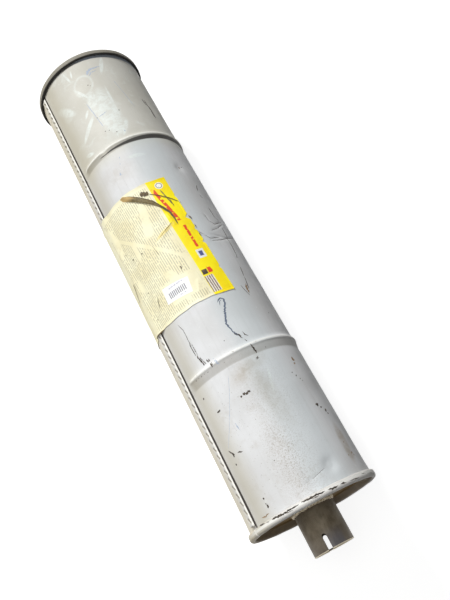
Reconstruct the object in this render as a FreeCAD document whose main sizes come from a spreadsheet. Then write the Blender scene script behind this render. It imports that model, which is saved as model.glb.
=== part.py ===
import FreeCAD, Part
import math
import os
import re
import Sketcher

# Round straight-through muffler, lying on its two rolled rims.
# X runs along the axis towards the outlet, Z is up, and the origin is on the axis at mid length.
# All sizes are in millimetres and all angles in degrees.

SIZES = {
    # Rolled shell, and the play left between folded or nested sheets
    "shell_radius": 80.0,
    "shell_thickness": 0.8,
    "body_length": 720.0,
    "fold_clearance": 0.1,
    # Lock seam along the shell, its place round the axis and its stamped notches
    "seam_angle": 69.0,
    "seam_width": 6.4,
    "seam_joggle": 2.6,
    "seam_end_gap": 3.0,
    "notch_pitch": 10.0,
    "notch_length": 6.4,
    "notch_width": 1.6,
    "notch_depth": 0.35,
    "notch_slant": 32.0,
    # Beads rolled out of the shell, placed from the rim faces, and the flat left for the seam
    "bead_width": 13.0,
    "bead_height": 2.3,
    "inlet_bead_distance": 177.5,
    "outlet_bead_distance": 192.0,
    "inlet_bead_gap": 34.0,
    "outlet_bead_gap": 24.0,
    # End caps and the rims that fold over the shell
    "cap_thickness": 1.6,
    "cap_recess": 10.0,
    "cap_corner": 3.0,
    "rim_width": 8.8,
    "rim_outer_bend": 3.3,
    "rim_inner_bend": 2.6,
    "collar_height": 5.5,
    # Pipe stubs and their clamp slots
    "pipe_radius": 25.5,
    "pipe_wall": 2.0,
    "pipe_reach": 47.0,
    "pipe_depth": 50.0,
    "slot_width": 5.4,
    "slot_length": 19.0,
    "slot_offset": 4.2,
    "slot_tilt": 10.5,
    # Welds
    "cap_weld_throw": 3.8,
    "core_weld_throw": 3.0,
    "weld_fullness": 0.72,
    # Slotted core tube
    "core_clearance": 0.15,
    "core_wall": 1.2,
    "core_overlap": 25.0,
    "gas_slot_length": 24.0,
    "gas_slot_width": 5.0,
    "gas_slot_pitch": 36.0,
    # Baffles
    "baffle_thickness": 1.5,
    "baffle_chamfer": 1.2,
    "baffle_collar": 9.0,
    "baffle_land": 5.0,
    # Packing round the core
    "wool_clearance": 0.3,
    "wrap_thickness": 2.5,
    # Paper label and the sticker on it, with angles measured from the seam
    "paper_clearance": 0.2,
    "label_thickness": 0.25,
    "label_middle": -8.0,
    "label_length": 192.0,
    "label_upper_angle": 87.5,
    "label_lower_angle": 36.0,
    "label_tent": 7.0,
    "sticker_clearance": 0.3,
    "sticker_thickness": 0.15,
    "sticker_margin": 19.0,
    "sticker_length": 22.5,
    "sticker_upper_angle": 56.4,
    "sticker_lower_angle": 29.3,
}
SLOTS_ROUND = 6
END_CHAMBER_ROWS = 2
MIDDLE_CHAMBER_ROWS = 6

X_AXIS = FreeCAD.Vector(1, 0, 0)
Z_AXIS = FreeCAD.Vector(0, 0, 1)
ORIGIN = FreeCAD.Vector(0, 0, 0)
HALF_TURN = FreeCAD.Rotation(Z_AXIS, 180)

# Radii and places that several pieces share, each an expression of the sizes above
RIM_FACE = "(body_length / 2)"
SHELL_BORE = "(shell_radius - shell_thickness)"
CAP_PLUG = f"({SHELL_BORE} - fold_clearance)"
CAP_BORE = f"({CAP_PLUG} - cap_thickness)"
HOOK_LOW = "(shell_radius + fold_clearance)"
HOOK_HIGH = f"({HOOK_LOW} + cap_thickness)"
LIP_LOW = f"({HOOK_HIGH} + fold_clearance)"
LIP_HIGH = f"({LIP_LOW} + shell_thickness)"
RIM_INSIDE = f"({LIP_HIGH} + fold_clearance)"
RIM_RADIUS = f"({RIM_INSIDE} + cap_thickness)"
RIM_BACK = f"({RIM_FACE} - rim_width)"
RIM_FOLD = f"(({RIM_RADIUS} - {HOOK_LOW}) / 2)"
RIM_FOLD_PLACE = f"({RIM_BACK} + {RIM_FOLD})"
LIP_FOLD = f"(({LIP_HIGH} - {SHELL_BORE}) / 2)"
LIP_FOLD_PLACE = f"({RIM_FACE} - cap_thickness - fold_clearance - {LIP_FOLD})"
SEAM_END = f"({RIM_BACK} - seam_end_gap)"
CAP_FACE = f"({RIM_FACE} - cap_recess)"
COLLAR_BORE = "(pipe_radius + fold_clearance)"
COLLAR_OUTSIDE = f"({COLLAR_BORE} + cap_thickness)"
COLLAR_TIP = f"({CAP_FACE} + collar_height)"
PIPE_END = f"({RIM_FACE} + pipe_reach)"
PIPE_INNER_END = f"({RIM_FACE} - pipe_depth)"
CORE_BORE = "(pipe_radius + core_clearance)"
CORE_OUTSIDE = f"({CORE_BORE} + core_wall)"
CORE_END = f"({PIPE_INNER_END} + core_overlap)"
WRAP_BORE = f"({CORE_OUTSIDE} + core_clearance)"
WRAP_OUTSIDE = f"({WRAP_BORE} + wrap_thickness)"
LABEL_LOW = "(shell_radius + paper_clearance)"
LABEL_END = "(label_middle + label_length / 2)"
BEAD_PLACE = {
    "inlet": f"({RIM_FACE} - inlet_bead_distance)",
    "outlet": f"({RIM_FACE} - outlet_bead_distance)",
}

doc = FreeCAD.newDocument("Muffler")
sheet = doc.addObject("Spreadsheet::Sheet", "Sizes")
for row, (alias, number) in enumerate(SIZES.items(), start=1):
    sheet.set(f"A{row}", alias)
    sheet.set(f"B{row}", str(number))
    sheet.setAlias(f"B{row}", alias)
doc.recompute()


def linked(text):
    """The same expression with each size's name pointing at its cell."""
    def point_at(word):
        return f"Sizes.{word[0]}" if word[0] in SIZES else word[0]

    return re.sub(r"[a-z_]+", point_at, str(text))


def value(text):
    """The number that an expression of sizes has now."""
    result = sheet.evalExpression(linked(text))
    return float(getattr(result, "Value", result))


def bind(feature, field, text):
    """Ties one property of a feature to an expression of sizes."""
    feature.setExpression(field, linked(text))


def new_piece(name):
    """A new body whose label is the piece's name."""
    piece = doc.addObject("PartDesign::Body", name)
    piece.Label = name
    return piece


# Sketches: closed outlines of lines and arcs, each point held by expressions

def origin_plane(piece, role):
    """One of the piece's own origin planes."""
    return [item for item in piece.Origin.OriginFeatures if item.Role == role][0]


def hold(sketch, kind, index, position, text):
    """Fixes one coordinate of a point, measured from the sketch's origin."""
    number = sketch.addConstraint(Sketcher.Constraint(kind, -1, 1, index, position, value(text)))
    bind(sketch, f"Constraints[{number}]", text)


def arc_between(start, end, radius, side):
    """Arc from start to end that swells to the left (1) or to the right (-1)."""
    chord = end - start
    sink = math.sqrt(max(radius ** 2 - (chord.Length / 2) ** 2, 0.0))
    left = FreeCAD.Vector(-chord.y, chord.x, 0).normalize()
    centre = (start + end) * 0.5 - left * (side * sink)
    first, last = (end, start) if side > 0 else (start, end)
    begin = math.atan2(first.y - centre.y, first.x - centre.x)
    finish = math.atan2(last.y - centre.y, last.x - centre.x)
    if finish < begin:
        finish += 2 * math.pi
    return Part.ArcOfCircle(Part.Circle(centre, Z_AXIS, radius), begin, finish)


def hold_arc(sketch, index, corner, following, chord):
    """Fixes an arc by its radius, or a half circle by the place of its centre."""
    radius = value(corner[2])
    if abs(chord.Length - 2 * radius) > 1e-4:
        number = sketch.addConstraint(Sketcher.Constraint("Radius", index, radius))
        bind(sketch, f"Constraints[{number}]", corner[2])
    elif abs(chord.x) < abs(chord.y):
        hold(sketch, "DistanceX", index, 3, f"({corner[0]} + {following[0]}) / 2")
    else:
        hold(sketch, "DistanceY", index, 3, f"({corner[1]} + {following[1]}) / 2")


def outline(piece, name, role, corners):
    """Closed sketch. A corner is (x, y), or (x, y, radius, side) where an arc leaves it."""
    sketch = piece.newObject("Sketcher::SketchObject", name)
    sketch.AttachmentSupport = [(origin_plane(piece, role), "")]
    sketch.MapMode = "FlatFace"
    points = [FreeCAD.Vector(value(corner[0]), value(corner[1]), 0) for corner in corners]
    followers = corners[1:] + corners[:1]
    chords = [end - start for start, end in zip(points, points[1:] + points[:1])]
    ends = []
    for corner, start, chord in zip(corners, points, chords):
        if len(corner) == 2:
            sketch.addGeometry(Part.LineSegment(start, start + chord), False)
            ends.append((1, 2))
        else:
            sketch.addGeometry(arc_between(start, start + chord, value(corner[2]), corner[3]), False)
            ends.append((2, 1) if corner[3] > 0 else (1, 2))
    for index, (_, last) in enumerate(ends):
        after = (index + 1) % len(ends)
        sketch.addConstraint(Sketcher.Constraint("Coincident", index, last, after, ends[after][0]))
    for index, (corner, following, chord) in enumerate(zip(corners, followers, chords)):
        hold(sketch, "DistanceX", index, ends[index][0], corner[0])
        hold(sketch, "DistanceY", index, ends[index][0], corner[1])
        if len(corner) == 4:
            hold_arc(sketch, index, corner, following, chord)
    return sketch


def rounded(corners):
    """Breaks each square corner (x, y, bend, steps) into the short straights of its bend."""
    spots = [(value(corner[0]), value(corner[1])) for corner in corners]
    result = []
    for index, corner in enumerate(corners):
        if len(corner) == 2:
            result.append(corner)
            continue
        x, y, bend, steps = corner
        here, after = spots[index], spots[(index + 1) % len(spots)]
        leaves_along_x = abs(after[0] - here[0]) > abs(after[1] - here[1])
        before = spots[index - 1]
        sign_x = math.copysign(1, (after if leaves_along_x else before)[0] - here[0])
        sign_y = math.copysign(1, (before if leaves_along_x else after)[1] - here[1])
        for step in range(steps + 1):
            turn = math.pi / 2 * step / steps
            shares = [1 - math.sin(turn), 1 - math.cos(turn)]
            share_x, share_y = reversed(shares) if leaves_along_x else shares
            result.append((f"({x} + {sign_x * share_x:.6f} * {bend})",
                           f"({y} + {sign_y * share_y:.6f} * {bend})"))
    return result


def folded(place, first, last, sign, steps=3):
    """Straights of a sheet folded back on itself, from one radius to another, swelling along X."""
    result = []
    for step in range(steps + 1):
        turn = math.pi * step / steps
        x = f"({place} + {sign * math.sin(turn):.6f} * abs({last} - {first}) / 2)"
        y = f"(({first} + {last}) / 2 - {math.cos(turn):.6f} * ({last} - {first}) / 2)"
        result.append((x, y))
    return result


def flipped(corners, across):
    """Straight-sided outline mirrored in the sketch's vertical ("x") or horizontal ("y") axis."""
    if across == "x":
        return [(f"(-1 * {x})", y) for x, y in corners]
    return [(x, f"(-1 * {y})") for x, y in corners]


def revolve(piece, name, sketch, angle=360):
    """Turns a profile round the X axis, half of the angle to each side of its plane."""
    feature = piece.newObject("PartDesign::Revolution", name)
    feature.Profile = sketch
    feature.ReferenceAxis = (sketch, ["H_Axis"])
    feature.Midplane = True
    bind(feature, "Angle", angle)
    return feature


def ring(name, corners, turn=None):
    """A piece that is one profile turned round the X axis."""
    piece = new_piece(name)
    revolve(piece, name + "_turned", outline(piece, name + "_profile", "XZ_Plane", corners))
    if turn:
        piece.Placement = FreeCAD.Placement(ORIGIN, turn)
    return piece


def pad_along_x(piece, name, corners, length):
    """Extrudes a cross section along the axis, half of the length to each side."""
    feature = piece.newObject("PartDesign::Pad", name)
    feature.Profile = outline(piece, name + "_section", "YZ_Plane", corners)
    feature.Midplane = True
    bind(feature, "Length", length)
    return feature


# Shell: one rolled sheet that hooks into itself along the seam.
# It is drawn with the seam at the top, and its placement turns the seam to its side.

# Outer radius of each of the seam's four layers of sheet, the lowest first
LAYER = [f"(shell_radius + {level} * (shell_thickness + fold_clearance))" for level in range(4)]
HOOK_FOLD = f"(({LAYER[2]} - {SHELL_BORE}) / 2)"


def surface_angle(width):
    """Angle of a width measured along the shell's surface."""
    return f"(({width}) / shell_radius * 180 / pi)"


SEAM_HALF = surface_angle("seam_width / 2")
SEAM_FREE_EDGE = surface_angle("seam_width / 2 - 2 * fold_clearance")
SEAM_STEP = surface_angle(f"seam_width / 2 + {HOOK_FOLD} + fold_clearance")
SEAM_FOOT = surface_angle(f"seam_width / 2 + {HOOK_FOLD} + fold_clearance + seam_joggle")


def polar(angle, radius):
    """Point of a cross section, by its angle from the top towards +Y and its radius."""
    return f"({radius} * sin({angle}))", f"({radius} * cos({angle}))"


def seam_under_hook():
    """Section of the sheet's edge that runs under the seam, folds up and turns back."""
    back_low = f"({LAYER[2]} - shell_thickness)"
    fold = f"(-1 * {SEAM_HALF})"
    return [
        polar(SEAM_FOOT, SHELL_BORE) + (SHELL_BORE, -1),
        polar(fold, SHELL_BORE) + (HOOK_FOLD, 1),
        polar(fold, LAYER[2]) + (LAYER[2], 1),
        polar(SEAM_FREE_EDGE, LAYER[2]),
        polar(SEAM_FREE_EDGE, back_low) + (back_low, -1),
        polar(fold, back_low) + (f"({HOOK_FOLD} - shell_thickness)", -1),
        polar(fold, "shell_radius") + ("shell_radius", 1),
        polar(SEAM_FOOT, "shell_radius"),
    ]


def seam_over_hook():
    """Section of the other edge, which steps up over the seam, folds down and turns back."""
    top_low = f"({LAYER[3]} - shell_thickness)"
    back_low = f"({LAYER[1]} - shell_thickness)"
    foot = f"(-1 * {SEAM_FOOT})"
    step = f"(-1 * {SEAM_STEP})"
    free_edge = f"(-1 * {SEAM_FREE_EDGE})"
    return [
        polar(foot, SHELL_BORE),
        polar(step, top_low) + (top_low, 1),
        polar(SEAM_HALF, top_low) + (f"({HOOK_FOLD} - shell_thickness)", 1),
        polar(SEAM_HALF, LAYER[1]) + (LAYER[1], -1),
        polar(free_edge, LAYER[1]),
        polar(free_edge, back_low) + (back_low, 1),
        polar(SEAM_HALF, back_low) + (HOOK_FOLD, -1),
        polar(SEAM_HALF, LAYER[3]) + (LAYER[3], -1),
        polar(step, LAYER[3]),
        polar(foot, "shell_radius"),
    ]


def shell_end():
    """Profile of the shell's end: its lip is folded out and back inside the cap's rim."""
    lip_tip = f"({RIM_FOLD_PLACE} + fold_clearance)"
    return [
        (SEAM_END, SHELL_BORE),
        *folded(LIP_FOLD_PLACE, SHELL_BORE, LIP_HIGH, 1),
        (lip_tip, LIP_HIGH),
        (lip_tip, LIP_LOW),
        (LIP_FOLD_PLACE, LIP_LOW),
        (LIP_FOLD_PLACE, "shell_radius"),
        (SEAM_END, "shell_radius"),
    ]


BEAD_TURN = "(2 * atan(2 * bead_height / bead_width))"
BEAD_BEND = f"(bead_width / 4 / sin({BEAD_TURN}))"
OUTER_CROWN = (-1, -1 / 3, 1 / 3, 1)
INNER_CROWN = (-0.7, 0.7)


def bead_curve(place, depth, crown_steps):
    """The bead's flanks and crown at a depth under the shell's outside, in the +X direction."""
    base = f"(shell_radius - {depth})"
    crown = f"({BEAD_BEND} - {depth})"
    centre = f"(shell_radius + bead_height - {BEAD_BEND})"
    return [
        (f"({place} - bead_width / 2)", base),
        *[(f"({place} + {crown} * sin({step:.6f} * {BEAD_TURN}))",
           f"({centre} + {crown} * cos({step:.6f} * {BEAD_TURN}))") for step in crown_steps],
        (f"({place} + bead_width / 2)", base),
    ]


def bead_band(place, depth, floor, crown_steps):
    """Closed profile between a bead's curve and a straight line below it."""
    left, right = f"({place} - bead_width / 2)", f"({place} + bead_width / 2)"
    return bead_curve(place, depth, crown_steps) + [(right, floor), (left, floor)]


def roll_bead(shell, name, place, gap):
    """Raises one bead out of the shell and hollows it, leaving the seam flat."""
    raised = outline(shell, name + "_outside", "XZ_Plane",
                     flipped(bead_band(place, "0", "(shell_radius - shell_thickness / 2)",
                                       OUTER_CROWN), "y"))
    revolve(shell, name, raised, f"360 - {surface_angle(gap)}")
    doc.recompute()
    before = shell.Shape.Volume
    hollow = outline(shell, name + "_inside", "XZ_Plane",
                     flipped(bead_band(place, "shell_thickness", f"({SHELL_BORE} - bead_height)",
                                       INNER_CROWN), "y"))
    feature = shell.newObject("PartDesign::Groove", name + "_hollow")
    feature.Profile = hollow
    feature.ReferenceAxis = (hollow, ["H_Axis"])
    feature.Midplane = True
    bind(feature, "Angle", f"360 - {surface_angle(gap + ' + 2 * shell_thickness')}")
    doc.recompute()
    if shell.Shape.Volume > before - 1:
        raise RuntimeError(f"the hollow of {name} removed nothing")


def stamp_notches(shell):
    """Slanted notches stamped along the top of the seam."""
    run = "notch_length / 2 * cos(notch_slant)"
    rise = "notch_length / 2 * sin(notch_slant)"
    half_x = "notch_width / 2"
    first = f"(notch_pitch / 2 - {SEAM_END})"
    slot = outline(shell, "notch_outline", "XY_Plane", [
        (f"({first} - {rise} - {half_x})", f"(-1 * {run})"),
        (f"({first} - {rise} + {half_x})", f"(-1 * {run})"),
        (f"({first} + {rise} + {half_x})", f"({run})"),
        (f"({first} + {rise} - {half_x})", f"({run})"),
    ])
    bind(slot, "AttachmentOffset.Base.z", f"{LAYER[3]} - notch_depth")
    notch = shell.newObject("PartDesign::Pocket", "notch")
    notch.Profile = slot
    notch.Reversed = True
    bind(notch, "Length", "shell_thickness + notch_depth")
    doc.recompute()
    before = shell.Shape.Volume
    row = shell.newObject("PartDesign::LinearPattern", "notch_row")
    row.Originals = [notch]
    row.Direction = (slot, ["H_Axis"])
    row.Mode = "Spacing"
    bind(row, "Offset", "notch_pitch")
    bind(row, "Occurrences", f"floor(2 * {SEAM_END} / notch_pitch)")
    shell.Tip = row
    doc.recompute()
    if shell.Shape.Volume > before - 1:
        raise RuntimeError("the row of notches removed nothing")


def make_shell():
    """The rolled sheet with its lock seam, end lips, two beads and notches."""
    shell = new_piece("shell")
    wall = [
        (f"(-1 * {SEAM_END})", SHELL_BORE),
        (SEAM_END, SHELL_BORE),
        (SEAM_END, "shell_radius"),
        (f"(-1 * {SEAM_END})", "shell_radius"),
    ]
    revolve(shell, "wall", outline(shell, "wall_profile", "XZ_Plane", flipped(wall, "y")),
            f"360 - 2 * {SEAM_FOOT}")
    pad_along_x(shell, "under_hook", seam_under_hook(), f"2 * {SEAM_END}")
    pad_along_x(shell, "over_hook", seam_over_hook(), f"2 * {SEAM_END}")
    revolve(shell, "outlet_lip", outline(shell, "outlet_lip_profile", "XZ_Plane", shell_end()))
    revolve(shell, "inlet_lip",
            outline(shell, "inlet_lip_profile", "XZ_Plane", flipped(shell_end(), "x")))
    roll_bead(shell, "outlet_bead", BEAD_PLACE["outlet"], "outlet_bead_gap")
    roll_bead(shell, "inlet_bead", f"(-1 * {BEAD_PLACE['inlet']})", "inlet_bead_gap")
    stamp_notches(shell)
    shell.Placement = FreeCAD.Placement(ORIGIN, FreeCAD.Rotation(X_AXIS, value("seam_angle")))
    return shell


# End pieces: each is drawn at the outlet, and a half turn gives the one at the inlet

def cap_profile():
    """Dished cap: collar, recessed disc, plug wall, rounded rim and the hook inside it."""
    back_face = f"({CAP_FACE} - cap_thickness)"
    under_rim = f"({RIM_FACE} - cap_thickness)"
    hook_tip = f"({LIP_FOLD_PLACE} - fold_clearance)"
    back_corner = "(0.6 * (cap_corner + cap_thickness))"
    return rounded([
        (COLLAR_TIP, COLLAR_OUTSIDE),
        (CAP_FACE, COLLAR_OUTSIDE, "(0.6 * cap_corner)", 1),
        (CAP_FACE, CAP_BORE, "cap_corner", 2),
        (RIM_FACE, CAP_BORE, "rim_inner_bend", 2),
        (RIM_FACE, RIM_RADIUS, "rim_outer_bend", 3),
        *folded(RIM_FOLD_PLACE, RIM_RADIUS, HOOK_LOW, -1),
        (hook_tip, HOOK_LOW),
        (hook_tip, HOOK_HIGH),
        (RIM_FOLD_PLACE, HOOK_HIGH),
        (RIM_FOLD_PLACE, RIM_INSIDE),
        (under_rim, RIM_INSIDE),
        (under_rim, CAP_PLUG),
        (back_face, CAP_PLUG, back_corner, 1),
        (back_face, COLLAR_BORE, back_corner, 1),
        (COLLAR_TIP, COLLAR_BORE),
    ])


def weld_profile(place, outside, throw):
    """Full fillet in the corner between the pipe and the end of what sleeves it."""
    return [
        (place, COLLAR_BORE),
        (f"({place} + {throw})", COLLAR_BORE),
        (f"({place} + weld_fullness * {throw})",
         f"({COLLAR_BORE} + weld_fullness * ({outside} - {COLLAR_BORE}))"),
        (place, outside),
    ]


def baffle_profile(place):
    """Dished partition: collar on the core tube, disc, and a flange against the shell's bore."""
    disc_back = f"({place} - bead_width / 2 - baffle_land)"
    disc_front = f"({disc_back} + baffle_thickness)"
    flange_end = f"({place} + bead_width / 2 + baffle_land)"
    flange_high = f"({SHELL_BORE} - fold_clearance)"
    flange_low = f"({flange_high} - baffle_thickness)"
    collar_low = f"({CORE_OUTSIDE} + core_clearance)"
    collar_high = f"({collar_low} + baffle_thickness)"
    collar_end = f"({disc_back} + baffle_collar)"
    return rounded([
        (flange_end, flange_high),
        (disc_back, flange_high, "baffle_chamfer", 1),
        (disc_back, collar_low, "baffle_chamfer", 1),
        (collar_end, collar_low),
        (collar_end, collar_high),
        (disc_front, collar_high),
        (disc_front, flange_low),
        (flange_end, flange_low),
    ])


def box_profile(start, end, low, high):
    """Plain rectangular profile of a sleeve."""
    return [(start, low), (end, low), (end, high), (start, high)]


def make_pipe(name, turn):
    """Stub that passes through the cap's collar, with a clamp slot sawn through its mouth."""
    pipe = ring(name, box_profile(PIPE_INNER_END, PIPE_END, "(pipe_radius - pipe_wall)", "pipe_radius"))
    doc.recompute()
    before = pipe.Shape.Volume
    left = "(-1 * slot_offset - slot_width / 2)"
    right = "(-1 * slot_offset + slot_width / 2)"
    round_place = f"({PIPE_END} - slot_length + slot_width / 2)"
    past_mouth = f"({PIPE_END} + slot_width)"
    slot = pipe.newObject("PartDesign::Pocket", name + "_slot")
    slot.Profile = outline(pipe, name + "_slot_outline", "XY_Plane", [
        (past_mouth, left),
        (past_mouth, right),
        (round_place, right, "(slot_width / 2)", -1),
        (round_place, left),
    ])
    slot.Midplane = True
    bind(slot, "Length", "4 * pipe_radius")
    doc.recompute()
    if pipe.Shape.Volume > before - 1:
        raise RuntimeError(f"the slot of {name} removed nothing")
    tilt = FreeCAD.Rotation(X_AXIS, value("slot_tilt"))
    pipe.Placement = FreeCAD.Placement(ORIGIN, turn * tilt if turn else tilt)
    return pipe


def make_end(side, turn=None):
    """Cap, pipe stub, baffle and welds of one end."""
    cap_weld = weld_profile(COLLAR_TIP, COLLAR_OUTSIDE, "cap_weld_throw")
    core_weld = weld_profile(CORE_END, CORE_OUTSIDE, "core_weld_throw")
    return [
        ring(f"{side}_end_cap", cap_profile(), turn),
        make_pipe(f"{side}_pipe", turn),
        ring(f"{side}_pipe_weld", cap_weld, turn),
        ring(f"{side}_baffle", baffle_profile(BEAD_PLACE[side]), turn),
        ring(f"{side}_core_weld", core_weld, turn),
    ]


# Core: slotted tube sleeved over both stubs, wrapped in steel wool and packed in sound wool

def slot_rows():
    """Places along the axis of the rings of gas slots, chamber by chamber."""
    reach = "(bead_width / 2 + baffle_land)"
    outlet_room = f"(({BEAD_PLACE['outlet']} + {reach} + {PIPE_INNER_END}) / 2)"
    inlet_room = f"(-1 * ({BEAD_PLACE['inlet']} + {reach} + {PIPE_INNER_END}) / 2)"
    middle_room = f"(({BEAD_PLACE['outlet']} - {BEAD_PLACE['inlet']}) / 2)"
    rooms = [(inlet_room, END_CHAMBER_ROWS), (middle_room, MIDDLE_CHAMBER_ROWS),
             (outlet_room, END_CHAMBER_ROWS)]
    return [f"({room} + {row - (rows - 1) / 2} * gas_slot_pitch)"
            for room, rows in rooms for row in range(round(rows))]


def make_core():
    """Core tube with rings of slots along it, each cut from a block and repeated round the axis."""
    core = ring("core_tube", box_profile(f"(-1 * {CORE_END})", CORE_END, CORE_BORE, CORE_OUTSIDE))
    slots = []
    for number, place in enumerate(slot_rows(), start=1):
        left, right = f"({place} - gas_slot_length / 2)", f"({place} + gas_slot_length / 2)"
        slot = core.newObject("PartDesign::Pocket", f"gas_slot_{number}")
        slot.Profile = outline(core, f"gas_slot_outline_{number}", "XY_Plane", [
            (left, "(-1 * gas_slot_width / 2)"),
            (right, "(-1 * gas_slot_width / 2)"),
            (right, "(gas_slot_width / 2)"),
            (left, "(gas_slot_width / 2)"),
        ])
        slot.Reversed = True
        bind(slot, "Length", f"2 * {CORE_OUTSIDE}")
        slots.append(slot)
    doc.recompute()
    before = core.Shape.Volume
    rings = core.newObject("PartDesign::PolarPattern", "gas_slot_rings")
    rings.Originals = slots
    rings.Axis = (slots[0].Profile[0], ["H_Axis"])
    rings.Angle = 360
    rings.Occurrences = round(SLOTS_ROUND)
    core.Tip = rings
    doc.recompute()
    if core.Shape.Volume > before - 1:
        raise RuntimeError("the rings of slots removed nothing")
    return core


def make_packing():
    """Steel wool wrap on the core and the sound wool that fills the middle chamber."""
    reach = "(bead_width / 2 + baffle_land + wool_clearance)"
    start = f"(-1 * ({BEAD_PLACE['inlet']} - {reach}))"
    end = f"({BEAD_PLACE['outlet']} - {reach})"
    wool_outside = f"({SHELL_BORE} - wool_clearance)"
    return [
        ring("steel_wool_wrap", box_profile(start, end, WRAP_BORE, WRAP_OUTSIDE)),
        ring("sound_wool", box_profile(start, end, WRAP_OUTSIDE, wool_outside)),
    ]


# Paper: the label lies on the shell and is tented over the seam, and the sticker is on it

def label_section():
    """Cross section of the label, under side first and then the upper side back."""
    rise = f"({LAYER[3]} + paper_clearance)"
    lap = surface_angle(f"seam_width / 2 + {HOOK_FOLD} + label_tent")
    run_out = f"(-1 * ({SEAM_FOOT} + {surface_angle('seam_joggle')}))"
    step = f"(-1 * {SEAM_STEP})"
    last = "(-1 * label_lower_angle)"

    def up(radius):
        return f"({radius} + label_thickness)"

    return [
        polar("label_upper_angle", LABEL_LOW) + (LABEL_LOW, -1),
        polar(lap, LABEL_LOW),
        polar(SEAM_HALF, rise) + (rise, -1),
        polar(step, rise),
        polar(run_out, LABEL_LOW) + (LABEL_LOW, -1),
        polar(last, LABEL_LOW),
        polar(last, up(LABEL_LOW)) + (up(LABEL_LOW), 1),
        polar(run_out, up(LABEL_LOW)),
        polar(step, up(rise)) + (up(rise), 1),
        polar(SEAM_HALF, up(rise)),
        polar(lap, up(LABEL_LOW)) + (up(LABEL_LOW), 1),
        polar("label_upper_angle", up(LABEL_LOW)),
    ]


def sticker_section():
    """Cross section of the sticker on the label's upper side."""
    low = f"({LABEL_LOW} + label_thickness + sticker_clearance)"
    high = f"({low} + sticker_thickness)"
    return [
        polar("sticker_upper_angle", low) + (low, -1),
        polar("sticker_lower_angle", low),
        polar("sticker_lower_angle", high) + (high, 1),
        polar("sticker_upper_angle", high),
    ]


def make_paper(name, section, length, middle):
    """A curved sheet turned with the seam and slid to its place along the axis."""
    paper = new_piece(name)
    pad_along_x(paper, name + "_sheet", section, length)
    turn = FreeCAD.Rotation(X_AXIS, value("seam_angle"))
    paper.Placement = FreeCAD.Placement(X_AXIS * value(middle), turn)
    return paper


pieces = [make_shell(), make_core(), *make_packing()]
pieces += make_end("outlet")
pieces += make_end("inlet", HALF_TURN)
pieces += [
    make_paper("paper_label", label_section(), "label_length", "label_middle"),
    make_paper("code_sticker", sticker_section(), "sticker_length",
               f"{LABEL_END} - sticker_margin - sticker_length / 2"),
]
doc.recompute()

for item in doc.Objects:
    if "Invalid" in item.State or "Error" in item.State:
        raise RuntimeError(f"{item.Name} did not compute")
for piece in pieces:
    if piece.Shape.isNull() or not piece.Shape.isValid() or len(piece.Shape.Solids) != 1:
        raise RuntimeError(f"{piece.Label} is not one valid solid")

os.makedirs("parts", exist_ok=True)
for piece in pieces:
    piece.Shape.exportStep(f"parts/{piece.Label}.step")
    print(piece.Label, round(piece.Shape.Volume), [round(side, 2) for side in (
        piece.Shape.BoundBox.XMin, piece.Shape.BoundBox.XMax,
        piece.Shape.BoundBox.YLength, piece.Shape.BoundBox.ZLength)])
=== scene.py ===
import math
import random

import bmesh
import bpy
import numpy as np
from mathutils import Matrix, Vector


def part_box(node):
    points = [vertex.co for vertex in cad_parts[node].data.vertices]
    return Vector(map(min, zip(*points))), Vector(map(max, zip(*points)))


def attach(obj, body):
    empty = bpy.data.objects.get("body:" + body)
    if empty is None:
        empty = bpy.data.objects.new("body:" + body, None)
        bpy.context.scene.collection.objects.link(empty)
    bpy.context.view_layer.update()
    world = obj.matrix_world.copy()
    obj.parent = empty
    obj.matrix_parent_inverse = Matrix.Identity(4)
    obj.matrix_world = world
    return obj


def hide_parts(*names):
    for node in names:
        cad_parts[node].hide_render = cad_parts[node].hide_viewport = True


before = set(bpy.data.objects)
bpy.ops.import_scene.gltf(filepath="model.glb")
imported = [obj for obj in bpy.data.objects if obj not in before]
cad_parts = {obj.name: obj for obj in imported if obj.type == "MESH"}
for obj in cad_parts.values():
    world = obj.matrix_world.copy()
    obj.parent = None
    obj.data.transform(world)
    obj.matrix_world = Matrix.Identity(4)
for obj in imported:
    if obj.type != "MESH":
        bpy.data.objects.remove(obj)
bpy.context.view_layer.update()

# Places on the muffler are given as x along the axis in millimetres and as an angle in degrees,
# measured round the axis from the top towards -Y. Blender's own unit is the metre.
MM = 0.001

# Driving sizes, read from the frame where it holds them
CAP_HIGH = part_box("outlet_end_cap")[1]
PIPE_LOW, PIPE_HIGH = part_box("outlet_pipe")
LABEL_LOW, LABEL_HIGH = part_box("paper_label")
RIM_FACE = CAP_HIGH.x / MM
RIM_RADIUS = CAP_HIGH.z / MM
PIPE_END = PIPE_HIGH.x / MM
PIPE_RADIUS = PIPE_HIGH.z / MM
LABEL_START = LABEL_LOW.x / MM
LABEL_STOP = LABEL_HIGH.x / MM
LABEL_MIDDLE = (LABEL_START + LABEL_STOP) / 2
SHELL_RADIUS = RIM_RADIUS - 4.3
RIM_WIDTH = 8.8
RIM_BEND = 3.3
INLET_BEND = 1.8
RIM_SEED = 11
INLET_SEED = 17
CAP_RECESS = 10.0
CAP_BORE = SHELL_RADIUS - 2.5
COLLAR_RADIUS = PIPE_RADIUS + 1.7
COLLAR_HEIGHT = 5.5
PIPE_WALL = 2.0
SLOT_WIDTH = 5.4
SLOT_LENGTH = 19.0
SLOT_OFFSET = 4.2
SLOT_TILT = math.radians(10.5)
SEAM_ANGLE = 69.0
SEAM_WIDTH = 6.4
SEAM_HEIGHT = 2.7
SEAM_NOSE = SEAM_HEIGHT / 2
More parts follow.
